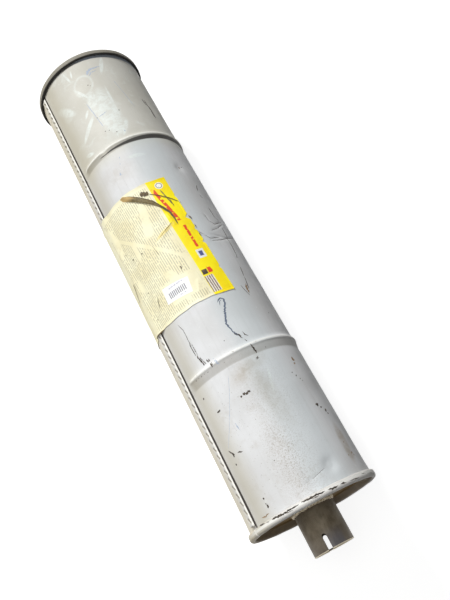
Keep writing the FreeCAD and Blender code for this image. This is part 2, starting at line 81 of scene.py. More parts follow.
# The seam's slow wander to the side, as sine waves: (length, phase, size)
SEAM_WANDER = [(61, 0.0, 0.35), (23, 2.0, 0.2)]
NOTCH_PITCH = 10.0
NOTCH_SLANT = math.radians(58)
NOTCH_HALF_LENGTH = 4.0
NOTCH_HALF_WIDTH = 1.5
NOTCH_CENTRE = 0.3
# How unevenly the notches follow each other: length and size of a sine wave
NOTCH_SLIP = (37, 0.4)
# Ripples and size of the weld round the stub, and its thick places: (angle, reach)
WELD_RIPPLES = 34
WELD_SIZE = 2.3
WELD_LIMIT = 3.6
WELD_LUMPS = [(-52, 9), (112, 11), (205, 14)]
BURR_ROWS = 9
BURR_PACE = 2.0
BEAD_WIDTH = 13.0
BEAD_HEIGHT = 2.2
# Each bead: its place along the axis, the width it leaves free for the seam, and its flank's length
BEADS = [(-RIM_FACE + 177.5, 34.0, 6.0), (RIM_FACE - 192.0, 24.0, 10.0)]
FREE_BEYOND_SEAM = 46
# Nick that was knocked into the inlet bead
NICK_ANGLE = 27
NICK_SIZE = (9, 5)
# Lowest that the dented sheet may go over the packing and over the baffles under the beads
DEEPEST = SHELL_RADIUS - 2.1
BAFFLE_RADIUS = SHELL_RADIUS - 0.75
BAFFLE_REACH = 13.0


# Meshes

def spot(x, angle, radius):
    """Point in metres at a place on the muffler."""
    turn = math.radians(angle)
    return (x * MM, -radius * math.sin(turn) * MM, radius * math.cos(turn) * MM)


def spots(x, angles, radii):
    """Points in metres at many places, from arrays."""
    turn = np.radians(angles)
    along = np.broadcast_to(x, np.shape(radii))
    return np.stack([along * MM, -radii * np.sin(turn) * MM, radii * np.cos(turn) * MM], axis=-1)


def arc(angle):
    """Length in millimetres of an angle along the shell's surface."""
    return math.radians(angle) * SHELL_RADIUS


def smooth(value, low, high):
    """0 below low, 1 above high and a smooth step between. Works on arrays too."""
    share = np.clip((value - low) / (high - low), 0, 1)
    return share * share * (3 - 2 * share)


def waves(x, angle, seed, length, octaves=3):
    """Gentle unevenness from -1 to 1 that repeats once round the axis, about length long."""
    picker = random.Random(seed)
    total = 0
    for octave in range(octaves):
        for _ in range(3):
            turns = round(2 * math.pi * SHELL_RADIUS / length * (octave + 1) * picker.uniform(0.5, 1.2))
            pace = 2 * math.pi / length * (octave + 1) * picker.uniform(0.5, 1.2)
            phase = picker.uniform(0, 2 * math.pi)
            lean = picker.choice((-1, 1))
            total = total + np.sin(pace * x + lean * turns * np.radians(angle) + phase) / (octave + 1)
    return total / 5


def dip(x, angle, place, size, depth, power=2.0):
    """A hollow at a place, with its half length and half width in millimetres."""
    across = np.radians(angle - place[1]) * SHELL_RADIUS
    reach = np.hypot((x - place[0]) / size[0], across / size[1])
    return -depth * np.exp(-reach ** power)


def crease(x, angle, start, end, width, depth):
    """A straight fold line in the sheet between two places."""
    along = np.array([end[0] - start[0], arc(end[1] - start[1])])
    px, py = x - start[0], np.radians(angle - start[1]) * SHELL_RADIUS
    share = np.clip((px * along[0] + py * along[1]) / (along @ along), 0, 1)
    away = np.hypot(px - share * along[0], py - share * along[1])
    return -depth * np.exp(-(away / width) ** 2) * (1 - 0.6 * np.abs(2 * share - 1))


def from_seam(angle):
    """Distance in millimetres round the shell from the seam, with a sign."""
    return np.radians((angle - SEAM_ANGLE + 180) % 360 - 180) * SHELL_RADIUS


def bead_height(x, angle):
    """How far the two rolled beads stand out. They fade away beside the seam."""
    total = 0
    offset = from_seam(angle)
    away = np.where(offset > 0, offset - FREE_BEYOND_SEAM, -offset)
    for place, gap, flank in BEADS:
        along = x - place
        rise = smooth(along, -BEAD_WIDTH / 2, -BEAD_WIDTH / 2 + 4.5)
        fall = np.clip((flank - along) / (flank + 0.5), 0, 1) * (1 - 0.25 * smooth(along, -1, 2))
        total = total + BEAD_HEIGHT * np.minimum(rise, fall) * smooth(away, gap / 2 - 4, gap / 2 + 6)
    nick = ((x - BEADS[0][0]) / NICK_SIZE[0]) ** 2 + (arc(1) * (angle - NICK_ANGLE) / NICK_SIZE[1]) ** 2
    return total * (1 - 0.85 * np.exp(-nick))


# Fold lines left in the sheet: (start, end, width, depth)
CREASES = [
    ((332, -13), (339, 9), 1.6, 0.4), ((1, -28), (9, -49), 2.0, 0.6), ((-34, -35), (-22, -37), 1.8, 0.5),
    ((-22, -37), (-16, -42), 1.8, 0.6), ((-16, -42), (-23, -56), 1.8, 0.5), ((-8, -17), (0, -22), 1.6, 0.5),
    ((0, -22), (8, -27), 1.8, 0.6), ((8, -27), (7, -38), 1.8, 0.6), ((12, -26), (11, -40), 1.6, 0.5),
    ((11, -40), (2, -64), 1.8, 0.5), ((-5, -33), (-9, -43), 1.6, 0.4), ((-9, -43), (-19, -55), 1.6, 0.5),
    ((60, -30), (84, -52), 2.0, 0.3),
]
# Stretches along the shell and round it that hold small knocks, where its mesh is finer
KNOCKED = [(318, 352), (-128, -108), (-40, 16)]
KNOCKED_ROUND = [(-66, -12)]
SHELL_TURN = 1.5
# Hollows knocked into the sheet: (place, half sizes, depth, sharpness)
HOLLOWS = [
    ((331, -19), (9, 9), 2.1, 2.4), ((342, 3), (7, 7), 0.7, 2.0), ((-118, -37), (7, 6), 1.3, 2.0),
    ((5, -38), (15, 12), 0.5, 2.0), ((-178, 27), (14, 9), 0.5, 2.0), ((-262, 20), (46, 30), 0.5, 2.0),
    ((250, 22), (38, 24), 0.6, 2.0), ((-60, -50), (30, 18), 0.4, 2.0), ((190, 14), (16, 10), 0.5, 2.0),
]


def dents(x, angle):
    """The knocks that the shell has taken."""
    total = 0
    for hollow in HOLLOWS:
        total = total + dip(x, angle, *hollow)
    for fold in CREASES:
        total = total + crease(x, angle, *fold)
    return total


def shell_radius(x, angle):
    """Outside radius of the shell, away from the seam's own fold."""
    sink, lowest = 0, DEEPEST
    for place, _, flank in BEADS:
        sink = sink + np.exp(-((x - place - flank - 2) / 3.5) ** 2) * 0.25
        lowest = np.where(np.abs(x - place) < BAFFLE_REACH, BAFFLE_RADIUS, lowest)
    from_rim = RIM_FACE - np.abs(x)
    loose = smooth(from_rim - RIM_WIDTH, 0, 25)
    uneven = (0.28 * waves(x, angle, 3, 170) - 0.32 - sink) * loose
    knocks = dents(x, angle) * smooth(from_rim, 9, 14)
    return np.maximum(SHELL_RADIUS + bead_height(x, angle) + uneven + knocks, lowest)


def add_mesh(name, vertices, faces, sharp=40):
    """A new object from vertices in metres, with smooth faces and its sharp edges kept."""
    mesh = bpy.data.meshes.new(name)
    mesh.from_pydata(vertices, [], faces)
    mesh.validate()
    mesh.update()
    mesh.shade_smooth()
    mesh.set_sharp_from_angle(angle=math.radians(sharp))
    piece = bpy.data.objects.new(name, mesh)
    bpy.context.scene.collection.objects.link(piece)
    return piece


def grid_mesh(name, points, closed=False, ring=False, caps=False):
    """Mesh of points in rows and columns.

    Closed joins the last column to the first, ring the last row to the first, and caps fill both ends.
    """
    rows, columns = len(points), len(points[0])
    vertices = [tuple(point) for row in points for point in row]
    faces = []
    for row in range(rows if ring else rows - 1):
        below = (row + 1) % rows
        for column in range(columns if closed else columns - 1):
            after = (column + 1) % columns
            faces.append((row * columns + column, row * columns + after,
                          below * columns + after, below * columns + column))
    if caps:
        faces.append(tuple(reversed(range(columns))))
        faces.append(tuple((rows - 1) * columns + column for column in range(columns)))
    return add_mesh(name, vertices, faces)


def turned_mesh(name, section, angles):
    """A closed section of (x, radius) places turned round the axis, as a watertight mesh."""
    rows = [[spot(x, angle, radius) for angle in angles] for x, radius in section]
    return grid_mesh(name, rows, closed=True, ring=True)


def face_outward(piece):
    """Turns the faces of a closed mesh so that they all look outward."""
    shape = bmesh.new()
    shape.from_mesh(piece.data)
    bmesh.ops.recalc_face_normals(shape, faces=shape.faces)
    shape.to_mesh(piece.data)
    shape.free()


def finish_piece(piece, paint, slot, *nodes):
    """Gives a piece its paint, hangs it under the root body and hides the frame's parts that it stands for.
    """
    piece.data.materials.append(paint.material)
    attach(piece, "root")
    if nodes:
        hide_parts(*nodes)


def steps(start, stop, pace, fine=(), fine_pace=1.0):
    """Places from start to stop at a pace, closer together inside the fine ranges."""
    places = [start]
    while places[-1] < stop - 1e-6:
        inside = any(low <= places[-1] < high for low, high in fine)
        places.append(min(stop, places[-1] + (fine_pace if inside else pace)))
    return places


def make_shell():
    """The rolled sheet round the body, with its beads, its dents and its uneven surface."""
    end = RIM_FACE - 4.5
    fine = [(place - BEAD_WIDTH / 2 - 1, place + flank + 3) for place, _, flank in BEADS]
    xs = steps(-end, end, 3.0, fine + KNOCKED, 1.0)
    angles = steps(-180, 180 - SHELL_TURN, SHELL_TURN, KNOCKED_ROUND, SHELL_TURN / 2)
    across, around = np.meshgrid(np.array(xs), np.array(angles), indexing="ij")
    return grid_mesh("shell_sheet", spots(across, around, shell_radius(across, around)), closed=True)


def seam_section():
    """Foot of the upper sheet, rounded fold, flat back and the step down to the lower sheet.

    Each point is the arc from the seam's middle towards the top and the height over the shell.
    """
    half = SEAM_WIDTH / 2
    points = [(half - 0.6, -0.25), (half, 0.1)]
    for turn in range(-70, 91, 20):
        points.append((half + SEAM_NOSE * math.cos(math.radians(turn)),
                       SEAM_NOSE + 0.05 + SEAM_NOSE * math.sin(math.radians(turn))))
    points += [(across, SEAM_HEIGHT) for across in np.linspace(half - 0.4, -4.4, 15)]
    points += [(-5.0, SEAM_HEIGHT - 0.12), (-5.7, 1.75), (-6.4, 0.8)]
    return points + [(-7.1, 0.15), (-8.0, -0.1), (-9.0, -0.5)]


def notch_share(along_seam, offset, fall):
    """1 in the slanted notches in the back of the seam, 0 beside them.

    Takes the distances from a notch's middle and a function that falls from 1 to 0 between two ends.
    """
    across_seam = offset - NOTCH_CENTRE
    cosine, sine = math.cos(NOTCH_SLANT), math.sin(NOTCH_SLANT)
    along = abs(across_seam * cosine + along_seam * sine)
    across = abs(along_seam * cosine - across_seam * sine)
    return (fall(along, NOTCH_HALF_LENGTH - 0.5, NOTCH_HALF_LENGTH)
            * fall(across, NOTCH_HALF_WIDTH - 0.4, NOTCH_HALF_WIDTH))


def make_seam():
    """The folded seam along the shell."""
    end = RIM_FACE - RIM_WIDTH - 2.6
    offsets, section = np.array(seam_section()).T
    back = section > SEAM_HEIGHT - 0.2
    rows = []
    for x in steps(-end, end, 0.62):
        wander = sum(size * math.sin(x / length + phase) for length, phase, size in SEAM_WANDER)
        slipped = x + NOTCH_SLIP[1] * math.sin(x / NOTCH_SLIP[0])
        along = (slipped + NOTCH_PITCH / 2) % NOTCH_PITCH - NOTCH_PITCH / 2
        notch = notch_share(along, offsets, lambda value, low, high: 1 - smooth(value, low, high))
        fade = float(smooth(end - abs(x), 0, 2.5))
        heights = section * fade - 0.5 * (1 - fade) - 0.5 * back * fade * notch
        heights = heights + 0.1 * math.sin(x / 9) * (section > 1)
        angles = SEAM_ANGLE - np.degrees((offsets + wander) / SHELL_RADIUS)
        rows.append(spots(x, angles, np.minimum(shell_radius(x, angles), SHELL_RADIUS) + heights))
    return grid_mesh("shell_seam", rows)


def bend(centre, radius, start, stop, count):
    """Points of a round bend in a profile of (x, radius), angles from +x towards larger radii."""
    turns = [math.radians(start + (stop - start) * step / count) for step in range(count + 1)]
    return [(centre[0] + radius * math.cos(turn), centre[1] + radius * math.sin(turn)) for turn in turns]


def cap_section(edge):
    """Cap's outside: collar, disc, plug wall, rolled rim with its edge bend, and the fold behind."""
    face = RIM_FACE - CAP_RECESS
    collar = face + COLLAR_HEIGHT
    fold = (RIM_RADIUS - SHELL_RADIUS - 0.1) / 2
    points = [(collar, PIPE_RADIUS + 0.1), (collar, COLLAR_RADIUS - 0.4), (collar - 0.4, COLLAR_RADIUS)]
    points += bend((face + 3, COLLAR_RADIUS + 3), 3, 270, 180, 6)
    points += [(face, radius) for radius in np.linspace(COLLAR_RADIUS + 6, CAP_BORE - 5, 13)]
    points += bend((face + 3, CAP_BORE - 3), 3, 180, 90, 6)
    points += bend((RIM_FACE - 2.6, CAP_BORE + 2.6), 2.6, 270, 360, 7)
    points += bend((RIM_FACE - edge, RIM_RADIUS - edge), edge, 0, 90, 8)
    points += bend((RIM_FACE - RIM_WIDTH + fold, RIM_RADIUS - fold), fold, 90, 270, 9)
    return points + [(RIM_FACE - 4, SHELL_RADIUS + 0.05)]


def rim_wave(angles, seed):
    """How the hand-worked rim wavers in radius and along the axis."""
    flat = 0 * angles
    return 0.32 * waves(flat, angles, seed, 70) - 0.34, 0.3 * waves(flat + 40, angles, seed + 5, 55) - 0.32


def facing(side, rows):
    """The rows in the order that turns a mesh of this side outward."""
    return rows if side < 0 else rows[::-1]


def make_cap(side, name, seed):
    """One end cap: its section turned round the axis. Side is 1 or -1."""
    angles = np.arange(0, 360, 1.5)
    wobble, push = rim_wave(angles, seed)
    rows = []
    for x, radius in cap_section(RIM_BEND if side > 0 else INLET_BEND):
        rim = float(smooth(radius, CAP_BORE - 1, CAP_BORE + 3))
        disc = float(smooth(radius, COLLAR_RADIUS, COLLAR_RADIUS + 8)
                     * (1 - smooth(radius, CAP_BORE - 10, CAP_BORE)))
        dome = 0.35 * waves(radius * 2, angles, seed + 9, 160)
        radii = radius + rim * wobble * smooth(radius, SHELL_RADIUS + 0.5, SHELL_RADIUS + 3)
        rows.append(spots((x + rim * push + disc * dome) * side, angles, radii))
    return grid_mesh(name, facing(side, rows), closed=True)


def make_weld(side, name, seed):
    """Rough weld bead between the cap's collar and the pipe. Side is 1 or -1."""
    picker = random.Random(seed)
    place = RIM_FACE - CAP_RECESS + COLLAR_HEIGHT - 1.2
    angles = np.arange(0, 360, 2.0)
    ripple = np.array([picker.uniform(-1, 1) for _ in angles])
    ripple = (ripple + np.roll(ripple, 1) + np.roll(ripple, -1)) / 3
    beads = 0.5 + 0.5 * np.cos(np.radians(angles) * WELD_RIPPLES + 2.5 * np.sin(np.radians(angles) * 3))
    swell = WELD_SIZE + 0.55 * beads + 0.7 * ripple
    for lump, reach in WELD_LUMPS:
        swell = swell + 0.9 * np.exp(-(((angles - lump + 180) % 360 - 180) / reach) ** 2)
    swell = np.minimum(swell, WELD_LIMIT)
    rows = []
    for step in range(13):
        turn = math.radians(-20 + 150 * step / 12)
        radii = PIPE_RADIUS - 0.1 + swell * math.sin(turn) * 0.92
        rows.append(spots((place + swell * math.cos(turn)) * side, angles, radii))
    return grid_mesh(name, facing(side, rows), closed=True)


def make_wool():
    """The packing as a lumpy sleeve round the wrapped core."""
    low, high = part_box("sound_wool")
    outside, inside = high.z / MM - 1.8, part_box("steel_wool_wrap")[1].z / MM + 0.3
    start, end = low.x / MM + 0.6, high.x / MM - 0.6
    section = [(start, inside)] + [(x, outside) for x in np.arange(start, end, 4.0)]
    section += [(end, outside), (end, inside)]
    wool = turned_mesh("wool_packing", section, np.arange(0, 360, 4.0))
    for vertex in wool.data.vertices:
        reach = math.hypot(vertex.co.y, vertex.co.z)
        if reach > (outside - 1) * MM:
            angle = math.degrees(math.atan2(-vertex.co.y, vertex.co.z))
            lump = 1 + 0.45 * MM * float(waves(vertex.co.x / MM, angle, 31, 24)) / reach
            vertex.co.y *= lump
            vertex.co.z *= lump
    face_outward(wool)
    return wool


def slot_cutter(side):
    """Prism of the clamp slot: straight sides, round bottom, turned a little round the axis."""
    half = SLOT_WIDTH / 2
    mouth, bottom = PIPE_END + 5, PIPE_END - SLOT_LENGTH + half
    outline = [(mouth, half)]
    outline += [(bottom - half * math.sin(math.radians(turn)), half * math.cos(math.radians(turn)))
                for turn in range(0, 181, 15)]
    outline += [(mouth, -half)]
    cosine, sine = math.cos(SLOT_TILT), math.sin(SLOT_TILT)
    rows = []
    for height in (-40, 40):
        rows.append([(x * side * MM, ((across - SLOT_OFFSET) * cosine - height * sine) * side * MM,
                      ((across - SLOT_OFFSET) * sine + height * cosine) * MM) for x, across in outline])
    return grid_mesh("slot_cutter", rows, closed=True, caps=True)


def make_burr():
    """A sliver of metal left by the saw across the lower slot, just inside the mouth."""
    middle = 180 + math.degrees(math.asin(0.45 / PIPE_RADIUS))
    inside = PIPE_RADIUS - 1.6
    rows = []
    for number in range(BURR_ROWS):
        angle = middle + (number - BURR_ROWS // 2) * BURR_PACE
        outside = inside + 0.9 + 0.3 * math.sin(number * 2.1)
        corners = ((-2.6, inside), (-0.4, inside), (-0.4, outside), (-2.6, outside))
        rows.append([spot(PIPE_END + x, angle, radius) for x, radius in corners])
    burr = grid_mesh("slot_burr", rows, closed=True, caps=True)
    face_outward(burr)
    return burr


def make_stub(side, name):
    """A pipe stub with rounded mouth edges and a clamp slot sawn through it. Side is 1 or -1."""
    outside, inside = PIPE_RADIUS, PIPE_RADIUS - PIPE_WALL
    xs = steps(PIPE_LOW.x / MM, PIPE_END - 0.5, 4.0, [(PIPE_END - SLOT_LENGTH - 6, PIPE_END)], 1.0)
    section = [(x, outside) for x in xs] + [(PIPE_END - 0.15, outside - 0.15), (PIPE_END, outside - 0.5)]
    section += [(PIPE_END, inside + 0.5), (PIPE_END - 0.15, inside + 0.15)]
    section += [(x, inside) for x in reversed(xs)]
    piece = turned_mesh(name, [(x * side, radius) for x, radius in section], np.arange(0, 360, 3.0))
    cutter = slot_cutter(side)
    face_outward(piece)
    face_outward(cutter)
    cut = piece.modifiers.new("slot", "BOOLEAN")
    cut.operation = "DIFFERENCE"
    cut.solver = "EXACT"
    cut.object = cutter
    bpy.context.view_layer.update()
    shaped = bpy.data.meshes.new_from_object(piece.evaluated_get(bpy.context.evaluated_depsgraph_get()))
    piece.modifiers.clear()
    piece.data = shaped
    bpy.data.objects.remove(cutter)
    shaped.shade_smooth()
    shaped.set_sharp_from_angle(angle=math.radians(40))
    return piece


# Label: a sheet pasted a little askew, tented over the seam, with a torn and wrinkled corner

LABEL_SKEW = -0.058
LABEL_SHEAR = -0.01575
STRIP_EDGE = 2.0
LABEL_TOP = -27.5
LABEL_BOTTOM = arc(103.5)
LABEL_COLUMNS = 150
LABEL_PACE = 1.2
PAPER = 0.14
TENT_REACH = 8.5
# Ridge of the torn fold: (x, angle)
FOLD_PATH = [(-106, 33), (-97, 29), (-83, 18), (-67, 7), (-48, 2), (-28, -1)]
# Wrinkles in the paper: (start, end, width, height)
WRINKLES = [
    ((-30, 3), (-12, 20), 2.0, 0.8), ((-20, 52), (35, 56), 1.6, 0.7), ((-70, 47), (-20, 30), 1.5, 0.45),
    ((60, 5), (88, 12), 1.5, 0.5),
]
# Nicks in the label's upper edge: (place, depth, half width)
NICKS = [(-33, 4.5, 5.0), (-12, 2.2, 3.0), (10, 2.5, 3.0), (-70, 1.4, 3.5), (52, 1.6, 4.0)]
# Corners of the sticker: (x, angle)
STICKER = [(44.5, 39.2), (48.9, 11.6), (70.8, 13.6), (66.9, 40.3)]


def label_place(u, v):
    """Place on the shell of a point of the label: u along it, v across it from the strip's edge."""
    return u + LABEL_SHEAR * (v - 60), np.degrees((v + STRIP_EDGE + LABEL_SKEW * u) / SHELL_RADIUS)


def label_lift(x, angle):
    """Height of the label over the shell's own surface."""
    offset = -from_seam(angle)
    crown = SEAM_HEIGHT + 0.25
    front = SEAM_WIDTH / 2 + SEAM_NOSE
    tent = crown * (1 - np.clip((offset - front) / TENT_REACH, 0, 1))
    back = crown * np.clip((offset + 11.0) / 5.5, 0, 1)
    over = np.where(offset > front, tent, np.where(offset < -5.0, back, crown))
    folds = 0
    for start, end in zip(FOLD_PATH, FOLD_PATH[1:]):
        folds = np.maximum(folds, -crease(x, angle, start, end, 2.3, 1.5) * 1.3)
    for wrinkle in WRINKLES:
        folds = np.maximum(folds, -crease(x, angle, *wrinkle))
    return 0.22 + over + folds + 0.12 * (1 + waves(x, angle, 21, 46))


def label_curl(x):
    """How far the label's two ends stand off."""
    return 0.5 * smooth(np.abs(x - LABEL_MIDDLE), 92, 97)


def over_label(x, angle):
    """Radius of the label's upper face."""
    return shell_radius(x, angle) + label_lift(x, angle) + label_curl(x)


def label_faces(rows, columns):
    """Faces of a sheet's upper side, its lower side and its four edges."""
    grid = np.arange(rows * columns).reshape(rows, columns)
    under = rows * columns
    faces = []
    for row in range(rows - 1):
        for column in range(columns - 1):
            corners = [int(grid[row, column]), int(grid[row + 1, column]),
                       int(grid[row + 1, column + 1]), int(grid[row, column + 1])]
            faces.append(tuple(corners))
            faces.append(tuple(under + corner for corner in reversed(corners)))
    edge = [*grid[0], *grid[1:, -1], *grid[-1, -2::-1], *grid[-2:0:-1, 0]]
    edge = [int(corner) for corner in edge]
    for here, after in zip(edge, edge[1:] + edge[:1]):
        faces.append((here, after, under + after, under + here))
    return faces


def make_label():
    """The paper sheet, thin but with both its faces."""
    picker = random.Random(8)
    us = np.arange(LABEL_START, LABEL_STOP + 0.6, LABEL_PACE)
    vs = np.linspace(LABEL_TOP, LABEL_BOTTOM, LABEL_COLUMNS)
    share = (vs - LABEL_TOP) / (LABEL_BOTTOM - LABEL_TOP)
    ragged = [picker.uniform(0, 0.5) for _ in us]
    upper, lower = [], []
    for u, rough in zip(us, ragged):
        nick = sum(depth * max(0, 1 - abs(u - place) / width) for place, depth, width in NICKS)
        across = vs + (rough + nick) * (1 - share) ** 6
        ends = 0.6 * np.sin(across / 13) + 0.35 * np.sin(across / 4.1 + 1)
        pull = ends * abs(2 * (u - LABEL_START) / (LABEL_STOP - LABEL_START) - 1) ** 8
        x, angle = label_place(u - pull - 0.5, across)
        x = np.clip(x, LABEL_START - 2, LABEL_STOP + 1)
        curl = label_curl(u) + 0.7 * smooth(-across, 24, 28) * (0.5 + 0.5 * math.sin(u / 11))
        radii = shell_radius(x, angle) + label_lift(x, angle) + curl
        upper.append(spots(x, angle, radii))
        lower.append(spots(x, angle, radii - PAPER))
    vertices = [tuple(point) for side in (upper, lower) for row in side for point in row]
    return add_mesh("label_sheet", vertices, label_faces(len(upper), LABEL_COLUMNS), sharp=60)


def make_sticker():
    """The small sticker between its four corners, on the label."""
    first, second, third, fourth = [np.array(corner) for corner in STICKER]
    rows = []
    for down in np.linspace(0, 1, 22):
        row = []
        for along in np.linspace(0, 1, 36):
            upper = first * (1 - along) + second * along
            lower = fourth * (1 - along) + third * along
            x, angle = upper * (1 - down) + lower * down
            curl = 0.5 * abs(2 * down - 1) ** 10 * abs(2 * along - 1) ** 8
            row.append(spot(x, angle, float(over_label(x, angle) + 0.12 + curl)))
        rows.append(row)
    return grid_mesh("sticker_sheet", rows)


# Marks: thin flakes and streaks that lie on a surface

RIBBON_SIDES = (-1, -0.5, 0, 0.5, 1)
FLAKE_CORNERS = 14


def between(start, end, share):
    """The point at a share of the way from start to end."""
    return [one * (1 - share) + two * share for one, two in zip(start, end)]


def distance(start, end):
    """Length in millimetres over the surface between two places."""
    return math.hypot(end[0] - start[0], arc(end[1] - start[1]))


def ribbon(vertices, faces, path, radius, lift, seed, ragged=1.0):
    """A ragged streak along places (x, angle, width)."""
    picker = random.Random(seed)
    points = []
    for start, end in zip(path, path[1:]):
        count = max(2, int(distance(start, end) / 1.3))
        points += [between(start, end, step / count) for step in range(count)]
    points.append(list(path[-1]))
    first, last, wide = len(vertices), len(points) - 1, len(RIBBON_SIDES)
    for number, (x, angle, width) in enumerate(points):
        before, after = points[max(0, number - 1)], points[min(last, number + 1)]
        along = Vector((after[0] - before[0], arc(after[1] - before[1])))
        normal = Vector((-along.y, along.x)).normalized()
        taper = min(1, 0.25 + min(number, last - number) / 3)
        drift = picker.uniform(-0.25, 0.25) * width * ragged
        for side in RIBBON_SIDES:
            uneven = 1 + ragged * picker.uniform(-0.45, 0.2)
            half = side * width / 2 * taper * uneven + drift
            px = x + normal.x * half
            pa = angle + math.degrees(normal.y * half / SHELL_RADIUS)
            vertices.append(spot(px, pa, float(radius(px, pa)) + lift))
    for number in range(last):
        for corner in range(first + wide * number, first + wide * (number + 1) - 1):
            faces.append((corner, corner + wide, corner + wide + 1, corner + 1))


def flake(vertices, faces, mark, radius, lift, seed):
    """A ragged spot: x, angle, length, width and tilt off the axis."""
    picker = random.Random(seed)
    x, angle, length, width, tilt = mark
    cosine, sine = math.cos(math.radians(tilt)), math.sin(math.radians(tilt))
    first = len(vertices)
    vertices.append(spot(x, angle, float(radius(x, angle)) + lift))
    for ring in (0.55, 1.0):
        for step in range(FLAKE_CORNERS):
            turn = 2 * math.pi * step / FLAKE_CORNERS
            reach = ring * (picker.uniform(0.6, 1.15) if ring == 1.0 else 0.9)
            along, across = length / 2 * reach * math.cos(turn), width / 2 * reach * math.sin(turn)
            px = x + along * cosine - across * sine
            pa = angle + math.degrees((along * sine + across * cosine) / SHELL_RADIUS)
            vertices.append(spot(px, pa, float(radius(px, pa)) + lift))
    for step in range(FLAKE_CORNERS):
        here, after = first + 1 + step, first + 1 + (step + 1) % FLAKE_CORNERS
        faces.append((first, after, here))
        faces.append((here, after, after + FLAKE_CORNERS, here + FLAKE_CORNERS))


def make_marks(name, streaks, flakes, radius, lift=0.07, ragged=1.0):
    """One piece with all the streaks and spots of one colour."""
    vertices, faces = [], []
    for number, path in enumerate(streaks):
        ribbon(vertices, faces, path, radius, lift, number, ragged)
    for number, mark in enumerate(flakes):
        flake(vertices, faces, mark, radius, lift, 100 + number)
    return add_mesh(name, vertices, faces)


def hatch(start, end, length, width, tilt, pitch=2.3):
    """Short parallel spots in a row between two places, as where something scraped and skipped."""
    run = distance(start, end)
    picker = random.Random(round(run * 10))
    count = max(1, int(run / pitch))
    result = []
    for step in range(count + 1):
        x, angle = between(start, end, step / count)
        result.append((x + picker.uniform(-0.5, 0.5), angle, length * picker.uniform(0.5, 1.2),
                       width * picker.uniform(0.7, 1.3), tilt))
    return result


# Streaks are paths of (x, angle, width). Spots are (x, angle, length, width, tilt off the axis).
DARK_STREAKS = [
    [(-48, -47.5, 0.8), (-40, -48.1, 1.4), (-31, -48.3, 0.9), (-23, -52.7, 0.7)],
    [(-11, -50.7, 0.8), (-1, -50.6, 1.4), (11, -49.5, 0.9), (26, -48.8, 1.2), (42, -47.3, 0.8)],
    [(55.7, -43, 1.3), (75, -40.5, 0.9), (91.4, -37.9, 1.8)],
    [(86, -30, 0.7), (96, -32.5, 1.0), (103, -34.5, 0.7)],
    [(-89, -49.5, 1.2), (-82, -47, 1.9), (-76, -45.2, 0.8)],
    [(0, -22, 0.5), (8, -27.1, 1.0), (7, -37.8, 0.7)],
    [(-22, -36.7, 0.6), (-16, -42.2, 1.1), (-23, -56.5, 0.8)],
    [(12, -26.5, 0.5), (11, -39.5, 1.0), (2, -64.8, 0.8)], [(-9, -43, 0.6), (-19, -55.1, 1.0)],
    [(-34, -35, 0.5), (-22, -36.7, 0.9)], [(-8, -17.5, 0.6), (0, -22, 0.9)],
    [(-5, -33, 0.5), (-9, -43, 0.9)],
    [(-256.6, -42.8, 1.2), (-238, -45, 2.8), (-219.8, -45.7, 2.6)],
    [(-259, -40.2, 1.2), (-246, -41.8, 2.0)],
    [(-240, -58, 1.2), (-228, -61, 0.9)],
    [(-70, -45, 0.9), (-64, -47, 1.2)],
    [(96, 41.4, 0.5), (107, 38.8, 0.8), (123, 38.9, 0.8), (130, 38.9, 0.9)],
    [(140, 0.2, 1.2), (147, -1.5, 2.4), (149, -3.6, 1.7), (155, -4.8, 2.2)],
    [(147, -7.8, 1.0), (152, -8.7, 1.4), (155, -10.9, 1.2)], [(157, -6.3, 1.2), (163, -7.6, 1.5)],
    [(166, -8.2, 1.0), (173, -9.2, 2.4), (179, -10.3, 2.6)],
    [(183, -9.9, 1.0), (185, -7.4, 1.5), (185, -9.2, 1.3), (187, -7.0, 1.3)],
    [(261, 54.2, 1.3), (264, 53.3, 2.2), (266, 51.7, 1.4), (270, 51.2, 3.4), (272, 50.6, 2.6)],
    [(270, 46.1, 1.5), (271, 43.2, 2.6), (272, 40.8, 1.8)],
    [(332, -13.2, 0.3), (334, -7.8, 0.4), (337, 0.6, 0.3)],
]
